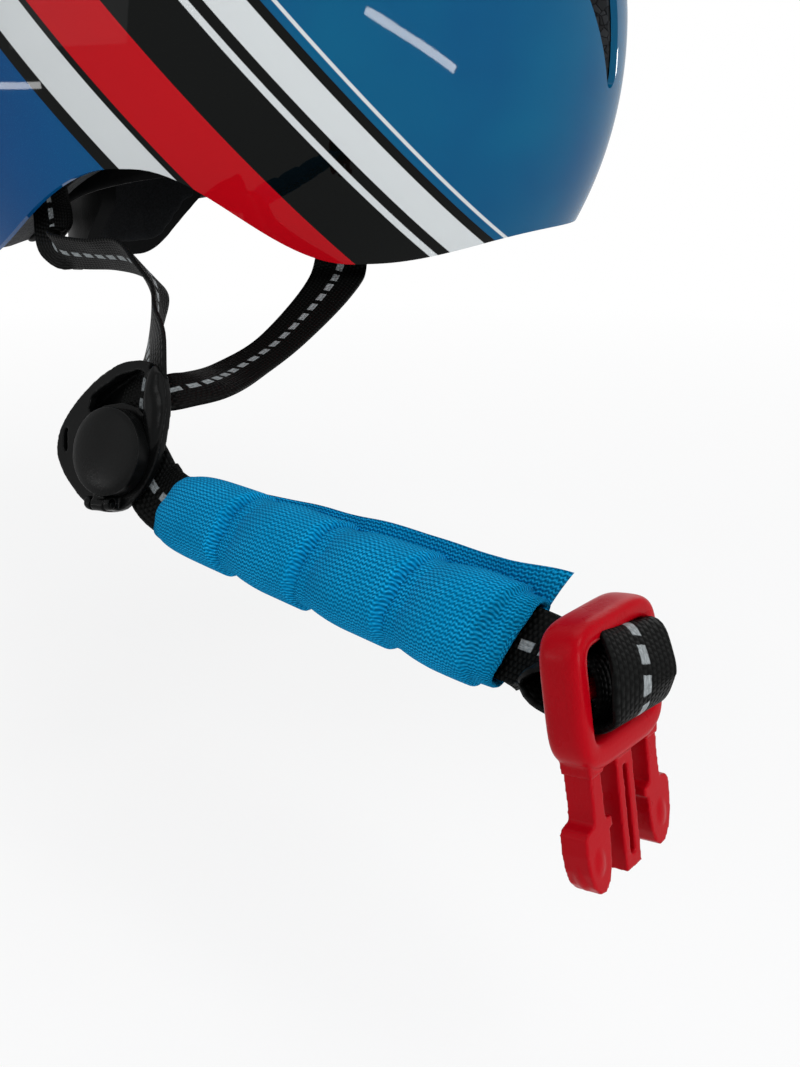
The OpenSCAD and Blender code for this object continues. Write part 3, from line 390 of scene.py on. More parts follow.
@dataclass(frozen=True)
class Knit:
    """Knitted cover fabric: wavy rows of loops along it, with painted shade and highlights."""

    name: str
    colour: Colour
    # The light colour is a painted highlight on the tops of the loops.
    light: Colour
    row: float = 0.00095
    stitch: float = 0.0013
    depth: float = 0.00024
    wander: float = 8.0
    # Share of the colour between the loops: painted shade.
    groove_shade: float = 0.4
    worn: float = 0.66

    def build(self) -> bpy.types.Material:
        """Returns the material of the cover."""
        g = Graph(self.name)
        place = g.cloth()
        drift = g.noise(place, 330.0, 2.0)
        patch = g.noise(place, 95.0, 2.0)
        across, along, _ = g.split(place)
        turn = 2 * math.pi
        wander = g.math("MULTIPLY", g.math("SUBTRACT", drift, 0.5), self.wander)
        wave = g.math("SINE", g.math("ADD", g.math("MULTIPLY", along, turn / self.stitch), wander))
        sway = g.math("ADD", g.math("MULTIPLY", wave, 1.05), g.math("MULTIPLY", wander, 0.5))
        rows = g.math("ADD", g.math("MULTIPLY", across, turn / self.row), sway)
        loops = g.math("SINE", rows)
        cross = g.math("SINE", g.math("ADD", g.math("MULTIPLY", along, 2 * turn / self.stitch),
                                      g.math("MULTIPLY", rows, 0.5)))
        height = g.ramp(g.math("ADD", loops, g.math("MULTIPLY", cross, 0.45)), -1.2, 1.2)
        yarn = g.noise(place, 4200.0, 2.0)
        # Painted shade between the loops, and a painted highlight in the light colour on their
        # tops.
        colour = g.mix(g.ramp(height, 0.1, 0.6), dimmed(self.colour, self.groove_shade), self.colour)
        colour = g.mix(g.math("MULTIPLY", g.ramp(yarn, 0.35, 0.7), g.ramp(height, 0.55, 1.0)),
                       colour, self.light)
        colour = g.mix(g.ramp(patch, 0.35, 0.7, 0.0, 0.4), colour, dimmed(self.colour, self.worn))
        bump = g.bump(height, 0.9, self.depth, g.bump(yarn, 0.3, 0.00008))
        return g.finish(Base_Color=colour, Roughness=g.ramp(yarn, 0.2, 0.8, 0.74, 0.92),
                        Specular_IOR_Level=0.0, Sheen_Weight=0.02, Sheen_Roughness=0.5,
                        Normal=bump)


@dataclass(frozen=True)
class Brushed:
    """Brushed loop cover of the pads and their tape, with a short nap that lies in patches."""

    name: str
    colour: Colour
    light: Colour
    nap: float = 1500.0
    worn: float = 0.6

    def build(self) -> bpy.types.Material:
        """Returns the material of the cover."""
        g = Graph(self.name)
        place = g.place()
        nap = g.noise(place, self.nap, 3.0, 0.6)
        patch = g.noise(place, 60.0, 2.0)
        lint = g.noise(place, 4200.0, 2.0)
        colour = g.mix(g.ramp(nap, 0.35, 0.7), self.colour, self.light)
        colour = g.mix(g.ramp(patch, 0.4, 0.7, 0.0, 0.4), colour, dimmed(self.colour, self.worn))
        return g.finish(Base_Color=colour, Roughness=g.ramp(lint, 0.2, 0.8, 0.8, 0.95),
                        Specular_IOR_Level=0.04, Sheen_Weight=0.02, Sheen_Roughness=0.6,
                        Normal=g.bump(nap, 0.5, 0.0002, g.bump(lint, 0.3, 0.00008)))


@dataclass(frozen=True)
class Steel:
    """Zinc plated steel with fine turning marks."""

    colour: Colour = (0.55, 0.56, 0.58)
    dark: Colour = (0.42, 0.43, 0.44)

    def build(self) -> bpy.types.Material:
        """Returns the material of the screws and the washer."""
        g = Graph("plated_steel")
        place = g.place()
        lines = g.noise(g.stretched(place, (60.0, 3000.0, 3000.0)), 1.0, 3.0)
        colour = g.mix(g.ramp(g.noise(place, 300.0), 0.3, 0.7), self.colour, self.dark)
        return g.finish(Base_Color=colour, Metallic=1.0,
                        Roughness=g.ramp(lines, 0.3, 0.7, 0.22, 0.4),
                        Normal=g.bump(lines, 0.2, 0.00005))


class Finish(Enum):
    """Every finish on the helmet."""

    SHELL = Gloss()
    FOAM = Foam()
    WEB = Webbing()
    TRIM = Moulded("satin_trim", (0.0028, 0.003, 0.003), 0.3, 0.3, 0.065)
    DULL = Moulded("matt_trim", (0.0035, 0.0038, 0.004), 0.48, 0.45, 0.05)
    RED = Moulded("red_moulding", (0.37, 0.0005, 0.0055), 0.3, 0.25, 0.06)
    TOWEL = Knit("blue_towelling", (0.0, 0.275, 0.60), (0.03, 0.56, 0.93))
    PAD = Brushed("pad_cover", (0.0045, 0.0048, 0.0055), (0.011, 0.012, 0.013))
    HOOK = Brushed("hook_tape", (0.004, 0.004, 0.0045), (0.02, 0.02, 0.022), 2600.0)
    STEEL = Steel()

    def get(self) -> bpy.types.Material:
        """Returns this finish, made on its first use."""
        if self.name not in _MADE:
            _MADE[self.name] = self.value.build()
        return _MADE[self.name]


_MADE: dict[str, bpy.types.Material] = {}


# Surfaces
Place = Callable[[float, float], Vector]


def skin(across: int, along: int, place: Place, uv: Place | None = None,
         filled: bool = False) -> bmesh.types.BMesh:
    """Bends a grid into a surface, and joins its edges where they meet.

    Args:
        across: Faces across.
        along: Faces along.
        place: Gives the point of two shares from 0 to 1.
        uv: Gives the map's point of the same shares.
        filled: True to close open ends.

    Returns:
        The new mesh.
    """
    bm = bmesh.new()
    layer = bm.loops.layers.uv.new("weave")
    bmesh.ops.create_grid(bm, x_segments=across, y_segments=along, size=0.5)
    for face in bm.faces:
        for loop in face.loops:
            u, v = loop.vert.co.x + 0.5, loop.vert.co.y + 0.5
            loop[layer].uv = (uv(u, v) if uv else Vector((u, v)))[:2]
    for vert in bm.verts:
        vert.co = place(vert.co.x + 0.5, vert.co.y + 0.5)
    bmesh.ops.remove_doubles(bm, verts=bm.verts[:], dist=MERGE)
    if filled:
        bmesh.ops.holes_fill(bm, edges=[e for e in bm.edges if e.is_boundary], sides=0)
    bmesh.ops.recalc_face_normals(bm, faces=bm.faces[:])
    return bm


def piece(name: str, bm: bmesh.types.BMesh, finish: Finish,
          sharp: float = 40.0) -> bpy.types.Object:
    """Turns a mesh into an object with its finish.

    Args:
        name: Name of the piece.
        bm: Mesh, which is used up.
        finish: Surface finish.
        sharp: Angle in degrees above which an edge stays sharp.

    Returns:
        The new object.
    """
    mesh = bpy.data.meshes.new(name)
    bm.to_mesh(mesh)
    bm.free()
    mesh.shade_smooth()
    mesh.set_sharp_from_angle(angle=math.radians(sharp))
    mesh.materials.clear()
    mesh.materials.append(finish.get())
    obj = bpy.data.objects.new(name, mesh)
    bpy.context.scene.collection.objects.link(obj)
    return obj


def freeze(obj: bpy.types.Object) -> None:
    """Applies the modifiers of an object to its mesh.

    Args:
        obj: The object.
    """
    graph = bpy.context.evaluated_depsgraph_get()
    mesh = bpy.data.meshes.new_from_object(obj.evaluated_get(graph))
    old = obj.data
    obj.modifiers.clear()
    obj.data = mesh
    bpy.data.meshes.remove(old)
    mesh.name = obj.name


def join(obj: bpy.types.Object, other: bpy.types.Object) -> None:
    """Adds the mesh of another piece to a piece.

    Args:
        obj: Piece that stays.
        other: Piece that is dropped.
    """
    bm = bmesh.new()
    bm.from_mesh(obj.data)
    bm.from_mesh(other.data)
    bm.to_mesh(obj.data)
    bm.free()
    bpy.data.objects.remove(other, do_unlink=True)


def absorb(bm: bmesh.types.BMesh, other: bmesh.types.BMesh) -> None:
    """Adds another mesh to a mesh.

    Args:
        bm: Mesh that stays.
        other: Mesh that is used up.
    """
    mesh = bpy.data.meshes.new("absorbed")
    other.to_mesh(mesh)
    other.free()
    bm.from_mesh(mesh)
    bpy.data.meshes.remove(mesh)


def remesh(obj: bpy.types.Object, voxel: float) -> None:
    """Adds a voxel remesh to an object.

    Args:
        obj: The object.
        voxel: Size of a voxel in mm.
    """
    grid = obj.modifiers.new("remesh", "REMESH")
    grid.mode = "VOXEL"
    grid.voxel_size = voxel * MM
    grid.use_smooth_shade = True


def relax(obj: bpy.types.Object, rounds: int) -> None:
    """Adds a smoothing to an object.

    Args:
        obj: The object.
        rounds: Times that the surface is smoothed.
    """
    soft = obj.modifiers.new("relax", "SMOOTH")
    soft.factor = 0.5
    soft.iterations = rounds


def basis(axes: Sequence[Vector], at: Vector, scale: float = 1.0) -> Matrix:
    """Makes a place from three axes and a point.

    Args:
        axes: Its x, y and z.
        at: The point.
        scale: Scale of the axes and the point.

    Returns:
        The matrix of the place.
    """
    rows = [[way[k] * scale for way in (*axes, at)] for k in range(3)]
    return Matrix((*rows, (0, 0, 0, 1)))


@dataclass
class Bench:
    """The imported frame, and how a dressed piece takes its place in it."""

    frame: dict

    def body(self, node: str) -> str:
        """Returns the body that a CAD node belongs to."""
        return self.frame["nodes"][node]["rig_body"]

    def copy(self, node: str) -> bmesh.types.BMesh:
        """Copies a CAD node's mesh, with its points joined and flat faces merged.

        Args:
            node: CAD node.

        Returns:
            The copy.
        """
        bm = bmesh.new()
        bm.from_mesh(self.frame["nodes"][node].data)
        bmesh.ops.remove_doubles(bm, verts=bm.verts[:], dist=MERGE)
        bmesh.ops.dissolve_limit(bm, angle_limit=math.radians(0.6), verts=bm.verts[:],
                                 edges=bm.edges[:])
        return bm

    def settle(self, obj: bpy.types.Object, node: str, *more: str) -> bpy.types.Object:
        """Lets a piece stand for CAD nodes and move with their body.

        Args:
            obj: The dressed piece.
            node: CAD node that it stands for.
            more: Further CAD nodes in the same body.

        Returns:
            The piece.
        """
        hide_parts(node, *more)
        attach(obj, self.body(node))
        slots = {s["node"]: s["material_slot"] for s in self.frame["record"]["subparts"]}
        return obj

    def refine(self, node: str, finish: Finish, edge: float = 0.35, steps: int = 3,
               angle: float = 32.0, cuts: Sequence[float] = ()) -> bpy.types.Object:
        """Dresses a CAD node with rounded edges and a finish.

        Args:
            node: CAD node.
            finish: Surface finish.
            edge: Width of the rounded edges in mm, or 0.
            steps: Segments of each rounded edge.
            angle: Angle in degrees from which an edge is rounded.
            cuts: Places in mm across the helmet where the faces are divided.

        Returns:
            The new piece.
        """
        bm = self.copy(node)
        for at in cuts:
            bmesh.ops.bisect_plane(bm, geom=bm.verts[:] + bm.edges[:] + bm.faces[:], dist=1e-6,
                                   plane_co=(0, at * MM, 0), plane_no=(0, 1, 0))
        obj = piece(node + "_skin", bm, finish, angle)
        if edge:
            bevel = obj.modifiers.new("rounding", "BEVEL")
            bevel.width = edge * MM
            bevel.segments = steps
            bevel.limit_method = "ANGLE"
            bevel.angle_limit = math.radians(angle)
            bevel.harden_normals = True
            bevel.use_clamp_overlap = True
        LOG.info("%s: refined, %d faces", node, len(obj.data.polygons))
        return self.settle(obj, node)

    def moulded(self, obj: bpy.types.Object, voxel: float, rounds: int) -> bpy.types.Object:
        """Fuses overlapping closed forms into one moulding with soft edges and fillets.

        Args:
            obj: Piece to fuse.
            voxel: Size of the remesh in mm.
            rounds: Times that the surface is smoothed.

        Returns:
            The piece.
        """
        remesh(obj, voxel)
        relax(obj, rounds)
        freeze(obj)
        obj.data.shade_smooth()
        return obj

    def soften(self, node: str, finish: Finish, voxel: float, rounds: int) -> bpy.types.Object:
        """Dresses a CAD node as a moulding with soft edges and fillets.

        Args:
            node: CAD node.
            finish: Surface finish.
            voxel: Size of the remesh in mm.
            rounds: Times that the surface is smoothed.

        Returns:
            The new piece.
        """
        obj = self.moulded(piece(node + "_skin", self.copy(node), finish), voxel, rounds)
        LOG.info("%s: softened, %d faces", node, len(obj.data.polygons))
        return self.settle(obj, node)


# Dome, shell and foam
@dataclass(frozen=True)
class Dome:
    """The helmet's form in mm, as the CAD source states it."""

    centre: float = -4.0
    half_l: float = 124.0
    half_w: float = 103.0
    crown: float = 150.0
    waist: float = 65.0
    tuck: float = 125.0
    power: float = 2.3
    brow_z: float = 7.0
    cheek_z: float = -1.0
    ear_z: float = 26.5
    nape_z: float = -4.0
    arch_half: float = 30.0
    arch_z: float = 32.0
    arch_ease: float = 14.0
    cheek_x: float = 50.0
    cheek_run: float = 55.0
    ear_x: float = -15.0
    ear_run: float = 60.0
    nape_x: float = -92.0
    nape_run: float = 72.0
    split: float = 0.34

    def rho(self, z: float, inset: float = 0.0) -> float:
        """Finds the share of the full outline that is left at a height.

        Args:
            z: Height in mm.
            inset: Distance inside the outer face in mm.

        Returns:
            The share.
        """
        if z >= self.waist:
            rise = clamp((z - self.waist) / (self.crown - inset - self.waist), 0, 1)
            return max(0.0, 1 - rise ** self.power) ** (1 / self.power)
        return math.sqrt(1 - ((self.waist - z) / self.tuck) ** 2)

    def rim(self, x: float, y: float) -> float:
        """Finds the height of the shell's lower edge.

        Args:
            x: Place along the helmet in mm.
            y: Place across it in mm.

        Returns:
            The height in mm.
        """
        if x >= self.cheek_x:
            low = ease(self.cheek_z, self.brow_z, (x - self.cheek_x) / self.cheek_run)
        elif x >= self.ear_x:
            low = ease(self.ear_z, self.cheek_z, (x - self.ear_x) / self.ear_run)
        else:
            low = ease(self.nape_z, self.ear_z, (x - self.nape_x) / self.nape_run)
        if x < 0:
            share = (self.arch_half + self.arch_ease - abs(y)) / (2 * self.arch_ease)
            low = max(low, ease(self.nape_z, self.arch_z, share))
        return low

    def point(self, turn: float, z: float, inset: float) -> Vector:
        """Finds the point of a face of the shell.

        Args:
            turn: Angle round the dome in radians.
            z: Height of the same point on the outer face, in mm.
            inset: Distance inside the outer face in mm.

        Returns:
            The point in mm.
        """
        if z >= self.waist:
            z = self.waist + (z - self.waist) * (self.crown - inset - self.waist) / (
                self.crown - self.waist)
        rho = self.rho(z, inset)
        return Vector((self.centre + (self.half_l - inset) * rho * math.cos(turn),
                       (self.half_w - inset) * rho * math.sin(turn), z))

    def foot(self, turn: float) -> float:
        """Finds the height of the lower edge.

        Args:
            turn: Angle round the dome in radians.

        Returns:
            The height in mm.
        """
        z = 10.0
        for _ in range(12):
            at = self.point(turn, z, 0)
            z = 0.5 * z + 0.5 * self.rim(at.x, at.y)
        return z

    def height(self, low: float, share: float) -> float:
        """Finds a height on the way from the lower edge to the crown.

        Args:
            low: Height of the lower edge in mm.
            share: Share of the way.

        Returns:
            The height in mm.
        """
        if share < self.split:
            return low + (self.waist - low) * share / self.split
        t = math.pi / 2 * (share - self.split) / (1 - self.split)
        return self.waist + (self.crown - self.waist) * math.sin(t) ** (2 / self.power)

    def normal(self, p: Vector) -> Vector:
        """Finds the outward normal of the outer face.

        Args:
            p: Point on the face in mm.

        Returns:
            The normal.
        """
        if p.z >= self.waist:
            rise = clamp((p.z - self.waist) / (self.crown - self.waist), 1e-4, 1)
            rho = max(1e-4, 1 - rise ** self.power) ** (1 / self.power)
            slope = -rise ** (self.power - 1) * rho ** (1 - self.power) / (self.crown - self.waist)
        else:
            rho = self.rho(p.z)
            slope = (self.waist - p.z) / self.tuck ** 2 / rho
        x, y = (p.x - self.centre) / self.half_l, p.y / self.half_w
        radial = max(1e-6, math.hypot(x, y))
        out = Vector((x / radial / self.half_l, y / radial / self.half_w, -slope))
        return out.normalized()


class Cut(Enum):
    """The way that a vent is cut, with the place in metres where its cutter starts."""

    FRONT = 0.045
    REAR = -0.165
    TOP = 0.065


@dataclass(frozen=True)
class Drop:
    """A teardrop vent in mm: its small end, its large end and the way it is cut."""

    small: tuple[float, float]
    small_r: float
    large: tuple[float, float]
    large_r: float
    cut: Cut
    reach: float = 0.12

    def cutter(self, side: int) -> bmesh.types.BMesh:
        """Makes the solid that cuts the vent on one side.

        Args:
            side: 1 for the wearer's left, -1 for the right.

        Returns:
            The solid.
        """
        bm = bmesh.new()
        for (a, b), r in ((self.small, self.small_r), (self.large, self.large_r)):
            for level in (0.0, 1.0):
                ring = bmesh.ops.create_circle(bm, segments=48, radius=r * MM)["verts"]
                bmesh.ops.translate(bm, verts=ring, vec=(a * MM, b * MM, level))
        hull = bmesh.ops.convex_hull(bm, input=bm.verts[:])
        loose = [g for g in hull["geom_interior"] + hull["geom_unused"]
                 if isinstance(g, bmesh.types.BMVert) and g.is_valid]
        bmesh.ops.delete(bm, geom=list(set(loose)), context="VERTS")
        for vert in bm.verts:
            a, b, c = vert.co
            deep = self.cut.value + c * self.reach
            vert.co = (a, side * b, deep) if self.cut is Cut.TOP else (deep, side * a, b)
        bmesh.ops.recalc_face_normals(bm, faces=bm.faces[:])
        return bm


VENTS = (
    Drop((23.5, 53), 4, (37, 88), 12, Cut.FRONT),
    Drop((24, 58), 5, (33, 92), 10, Cut.REAR),
    Drop((62, 12), 5, (22, 11), 7, Cut.TOP),
    Drop((46, 44), 5, (4, 46), 9, Cut.TOP),
    Drop((-78, 15), 5, (-30, 16), 9, Cut.TOP),
    Drop((-66, 44), 5, (-30, 46), 8, Cut.TOP),
)


@dataclass
class Shell:
    """Hard outer shell with its print, and the foam liner inside it."""

    bench: Bench
    dome: Dome = field(default_factory=Dome)
    wall: float = 2.0
    turns: int = 264
    rings: int = 84
    crease: float = 35.0
    along: float = 0.93

    def form(self) -> bmesh.types.BMesh:
        """Returns both faces of the shell, joined along the lower edge."""
        feet = [self.dome.foot(2 * math.pi * k / self.turns) for k in range(self.turns)]

        def face(inset: float) -> bmesh.types.BMesh:
            """Returns one face of the shell, inside the outer one by an inset."""
            def place(u: float, v: float) -> Vector:
                """Returns a point of the face."""
                k = round(u * self.turns) % self.turns
                turn = 2 * math.pi * k / self.turns
                return self.dome.point(turn, self.dome.height(feet[k], v), inset) * MM
            return skin(self.turns, self.rings, place)

        bm, inner = face(0), face(self.wall)
        bmesh.ops.reverse_faces(inner, faces=inner.faces[:])
        absorb(bm, inner)
        bmesh.ops.bridge_loops(bm, edges=[e for e in bm.edges if e.is_boundary])
        bmesh.ops.recalc_face_normals(bm, faces=bm.faces[:])
        return bm

    def cut(self, obj: bpy.types.Object) -> None:
        """Cuts the vents through a piece.

        Args:
            obj: The piece.
        """
        joined = bmesh.new()
        for drop in VENTS:
            for side in (-1, 1):
                absorb(joined, drop.cutter(side))
        cutter = piece("vent_cutter", joined, Finish.FOAM)
        change = obj.modifiers.new("vents", "BOOLEAN")
        change.operation = "DIFFERENCE"
        change.solver = "EXACT"
        change.object = cutter
        freeze(obj)
        bpy.data.objects.remove(cutter)

    def shade(self, obj: bpy.types.Object) -> None:
        """Gives the broad faces the normals of the true surface, so that the gloss runs clean.

        Args:
            obj: The shell.
        """
        mesh = obj.data
        mesh.shade_smooth()
        mesh.set_sharp_from_angle(angle=math.radians(self.crease))
        normals = [Vector((0, 0, 0))] * len(mesh.loops)
        corner = mesh.corner_normals
        for poly in mesh.polygons:
            for k in poly.loop_indices:
                true = self.dome.normal(mesh.vertices[mesh.loops[k].vertex_index].co / MM)
                side = poly.normal.dot(true)
                normals[k] = (true if side > self.along else -true if side < -self.along
                              else Vector(corner[k].vector))
        mesh.normals_split_custom_set(normals)

    def build(self) -> None:
        """Builds the shell and the liner."""
        obj = piece("printed_shell", self.form(), Finish.SHELL)
        self.cut(obj)
        self.shade(obj)
        self.bench.settle(obj, "outer_shell")
        LOG.info("outer_shell: %d faces", len(obj.data.polygons))
        self.bench.refine("foam_liner", Finish.FOAM, 0, angle=28.0)


# Webbing
Stop = tuple[tuple[float, float, float], tuple[float, float, float]]


def blend4(a: Vector, b: Vector, c: Vector, d: Vector, t: float) -> Vector:
    """Finds a point on the smooth curve between the middle two of four points.

    Args:
        a: Point before.
        b: Start.
        c: End.
        d: Point after.
        t: Share of the way from start to end.

    Returns:
        The point.
    """
    return 0.5 * (2 * b + (c - a) * t + (2 * a - 5 * b + 4 * c - d) * t * t
                  + (3 * b - a - 3 * c + d) * t ** 3)


def smooth(points: Sequence[Vector], steps: int) -> list[Vector]:
    """Draws a smooth line through points.

    Args:
        points: The points.
        steps: Steps between each two.

    Returns:
        The points of the line.
    """
    last = len(points) - 1
    line = []
    for i in range(last):
        for k in range(steps):
            line.append(blend4(points[max(i - 1, 0)], points[i], points[i + 1],
                               points[min(i + 2, last)], k / steps))
    return line + [points[last]]


@dataclass
class Ribbon:
    """A flat band with round edges along a route, in mm."""

    name: str
    stops: Sequence[Stop]
    width: float = 16.0
    thick: float = 1.3
    finish: Finish = Finish.WEB
    steps: int = 9
    edge_steps: int = 3
    face_steps: int = 8

    def profile(self) -> list[tuple[float, float]]:
        """Returns the round-edged cross-section, once round."""
        half, r = self.width / 2, self.thick / 2
        flat = half - r
        ring = [(flat - 2 * flat * i / self.face_steps, r) for i in range(self.face_steps)]
        ring += [(-flat - r * math.sin(math.pi * i / self.edge_steps),
                  r * math.cos(math.pi * i / self.edge_steps)) for i in range(self.edge_steps)]
        ring += [(-x, -y) for x, y in ring]
        return ring

    def frames(self) -> list[tuple[Vector, Vector, Vector]]:
        """Returns the points of the route with their directions of width and thickness."""
        line = smooth([Vector(p) for p, _ in self.stops], self.steps)
        wide = smooth([Vector(w) for _, w in self.stops], self.steps)
        found = []
        for i, p in enumerate(line):
            way = (line[min(i + 1, len(line) - 1)] - line[max(i - 1, 0)]).normalized()
            side = (wide[i] - way * wide[i].dot(way)).normalized()
            found.append((p, side, way.cross(side)))
        return found

    def build(self) -> bpy.types.Object:
        """Returns the band as a piece, mapped in metres across and along it."""
        ring, frames = self.profile(), self.frames()
        run = [0.0]
        for a, b in zip(frames, frames[1:]):
            run.append(run[-1] + (b[0] - a[0]).length)
        n, m = len(ring), len(frames) - 1

        def place(u: float, v: float) -> Vector:
            """Returns a point of the band."""
            x, y = ring[round(u * n) % n]
            p, side, up = frames[round(v * m)]
            return (p + side * x + up * y) * MM

        def uv(u: float, v: float) -> Vector:
            """Returns a point of the band's map."""
            return Vector((ring[round(u * n) % n][0] * MM, run[round(v * m)] * MM))

        return piece(self.name, skin(n, m, place, uv, True), self.finish, 60.0)


ALONG = (0.55, 0.83, 0.05)
CHIN_UP = (0.32, 0.42, 0.85)
LEFT_X = (1.0, 0.0, 0.0)
FRONT_RIGHT: Sequence[Stop] = (
    ((39, -76, 13), (.93, .38, 0)), ((39, -69.8, -1), (.93, .38, 0)),
    ((37, -81.5, -8.9), (.97, -.23, -.09)), ((29.1, -104.6, -19.6), (.95, -.33, .01)),
    ((22.4, -124.4, -24.4), (.97, -.22, -.09)), ((19.8, -143.1, -24.6), (.94, -.24, -.26)),
    ((15.6, -150.3, -24.8), (.72, -.61, -.32)), ((11.6, -152.4, -25.6), (.4, -.87, -.31)),
    ((8.1, -153.2, -26.3), (.4, -.87, -.31)))
FRONT_LEFT: Sequence[Stop] = (
    ((39, 76, 13), (.93, -.38, 0)), ((39, 69.8, -1), (.93, -.38, 0)),
    ((39, 76.1, -7), (.93, -.38, 0)), ((38, 83.7, 2), (.95, 0, .2)),
    ((36, 88.2, 10), (.95, 0, .3)), ((33, 93, 20), (.9, 0, .35)),
    ((24, 100.6, 42), (.9, 0, .4)), ((15, 103.8, 62), (.95, 0, .3)),
    ((14, 106.8, 75.2), (.95, 0, .15)), ((12, 104.5, 85.9), (.95, 0, .15)))
REAR_RIGHT: Sequence[Stop] = (
    ((-50, -79.8, 29.2), (.93, -.37, 0)), ((-50, -75.6, 15.2), (.93, -.37, 0)),
    ((-47.2, -80.5, 4.6), (.86, -.45, .25)), ((-43.4, -83.5, 2.1), (-.24, -.66, .71)),
    ((-29.2, -90.7, 1.9), (-.39, -.69, .61)), ((-16.1, -99.1, 1.8), (-.34, -.59, .74)),
    ((-6.4, -109.5, -2.7), (-.35, -.64, .68)), ((-2.1, -118.3, -8.9), (.04, -.45, .89)),
    ((1.4, -132.3, -14.5), (.28, -.18, .94)), ((8.6, -153.8, -18.8), (.69, -.33, .64)),
    ((7.4, -159, -34.7), (.93, -.37, .06)), ((9.8, -162.5, -42.2), (.77, -.15, .53)),
    ((20.2, -169.7, -49.9), CHIN_UP), ((63.9, -197.6, -52.8), CHIN_UP),
    ((107.7, -225.4, -55.8), CHIN_UP), ((115.5, -233.5, -54.4), ALONG),
    ((122.8, -234.8, -50.1), (.6, .78, 0)), ((127.6, -237.9, -46), (.66, .75, -.08)),
    ((130.4, -242.7, -49.1), (.7, .68, -.2)), ((131.3, -245.1, -53.5), (.67, .72, -.19)),
    ((130.9, -243.7, -58.8), (.49, .87, -.11)), ((127.8, -241.5, -61.7), ALONG),
    ((122.3, -237.2, -62.2), ALONG), ((116.6, -233.8, -61.6), ALONG),
    ((108.3, -224.3, -56.6), CHIN_UP), ((64.6, -196.4, -53.7), CHIN_UP),
    ((20.8, -168.6, -50.7), CHIN_UP), ((12.9, -163.3, -46.3), (.77, -.15, .53)))
REAR_LEFT: Sequence[Stop] = (
    ((-50, 79.8, 29.2), (.93, .37, 0)), ((-50, 75.6, 15.2), (.93, .37, 0)),
    ((-50, 82, 9.2), (.93, .37, 0)), ((-49, 89.9, 18.2), (1, 0, -.3)),
    ((-45, 93.8, 26.2), (1, 0, -.4)), ((-38, 98, 35.2), (1, 0, -.5)),
    ((-23, 104.4, 53.2), (1, 0, -.6)), ((-6, 107.2, 64.2), (1, 0, -.3)),
    ((9, 108.6, 74.6), LEFT_X), ((10, 105.8, 87.3), LEFT_X), ((9, 103.8, 95), LEFT_X),
    ((9, 102.4, 100.9), LEFT_X), ((9, 94.9, 112.6), LEFT_X), ((9, 90.5, 118.9), LEFT_X),
    ((9, 91.9, 129.9), LEFT_X), ((9, 86.4, 132.4), LEFT_X), ((9, 82.3, 133.9), LEFT_X),
    ((9, 81.2, 136.3), LEFT_X), ((9, 78.7, 137), LEFT_X), ((9, 76.5, 135.5), LEFT_X),
    ((9, 76.3, 132.9), LEFT_X), ((9, 78.2, 131), LEFT_X), ((9, 80.8, 131.3), LEFT_X),
    ((9, 84.2, 128.5), LEFT_X), ((9, 89.1, 125), LEFT_X), ((9, 89.2, 117.9), LEFT_X),
    ((9, 93.5, 111.8), LEFT_X))
# The turn is a ring of webbing inside the loop round the buckle bar that makes the loop's hollow
# dark: a dark thing put where there is only shade.
BAR, BAR_WAY, TURN_WIDE, TURN_HIGH = (124.4, -237.9, -56.2), (0.84, -0.54), 3.9, 6.3
SHADE_FILL_TURN: Sequence[Stop] = tuple(
    ((BAR[0] + TURN_WIDE * math.cos(a) * BAR_WAY[0], BAR[1] + TURN_WIDE * math.cos(a) * BAR_WAY[1],
      BAR[2] + TURN_HIGH * math.sin(a)), ALONG)
    for a in (math.radians(36 * k + 180) for k in range(11)))
BAND_HEAD = ((53, -60.6, 32), (46, -64.3, 32), (26, -71.5, 32), (0, -74.3, 31), (-26, -70.2, 28),
             (-47, -61.8, 23))
BAND_LOW = ((-62, -51.4, 15.2), (-73, -41.2, 7.3), (-78.7, -34.1, 7.3))
BAND_HIGH = ((-62, -53.8, 22.9), (-79.5, -41.2, 22.7), (-78.7, -34.1, 22.7))
UP = (0.0, 0.0, 1.0)
DIVIDERS = (
    ("right", (-0.6, -157.75, -36.8), (0.927, -0.371, 0.06), (0.05, 0.289, 0.956)),
    ("left", (0.0, 106.03, 91.46), (1.0, 0.0, 0.0), (0.0, 0.242, -0.97)),
)


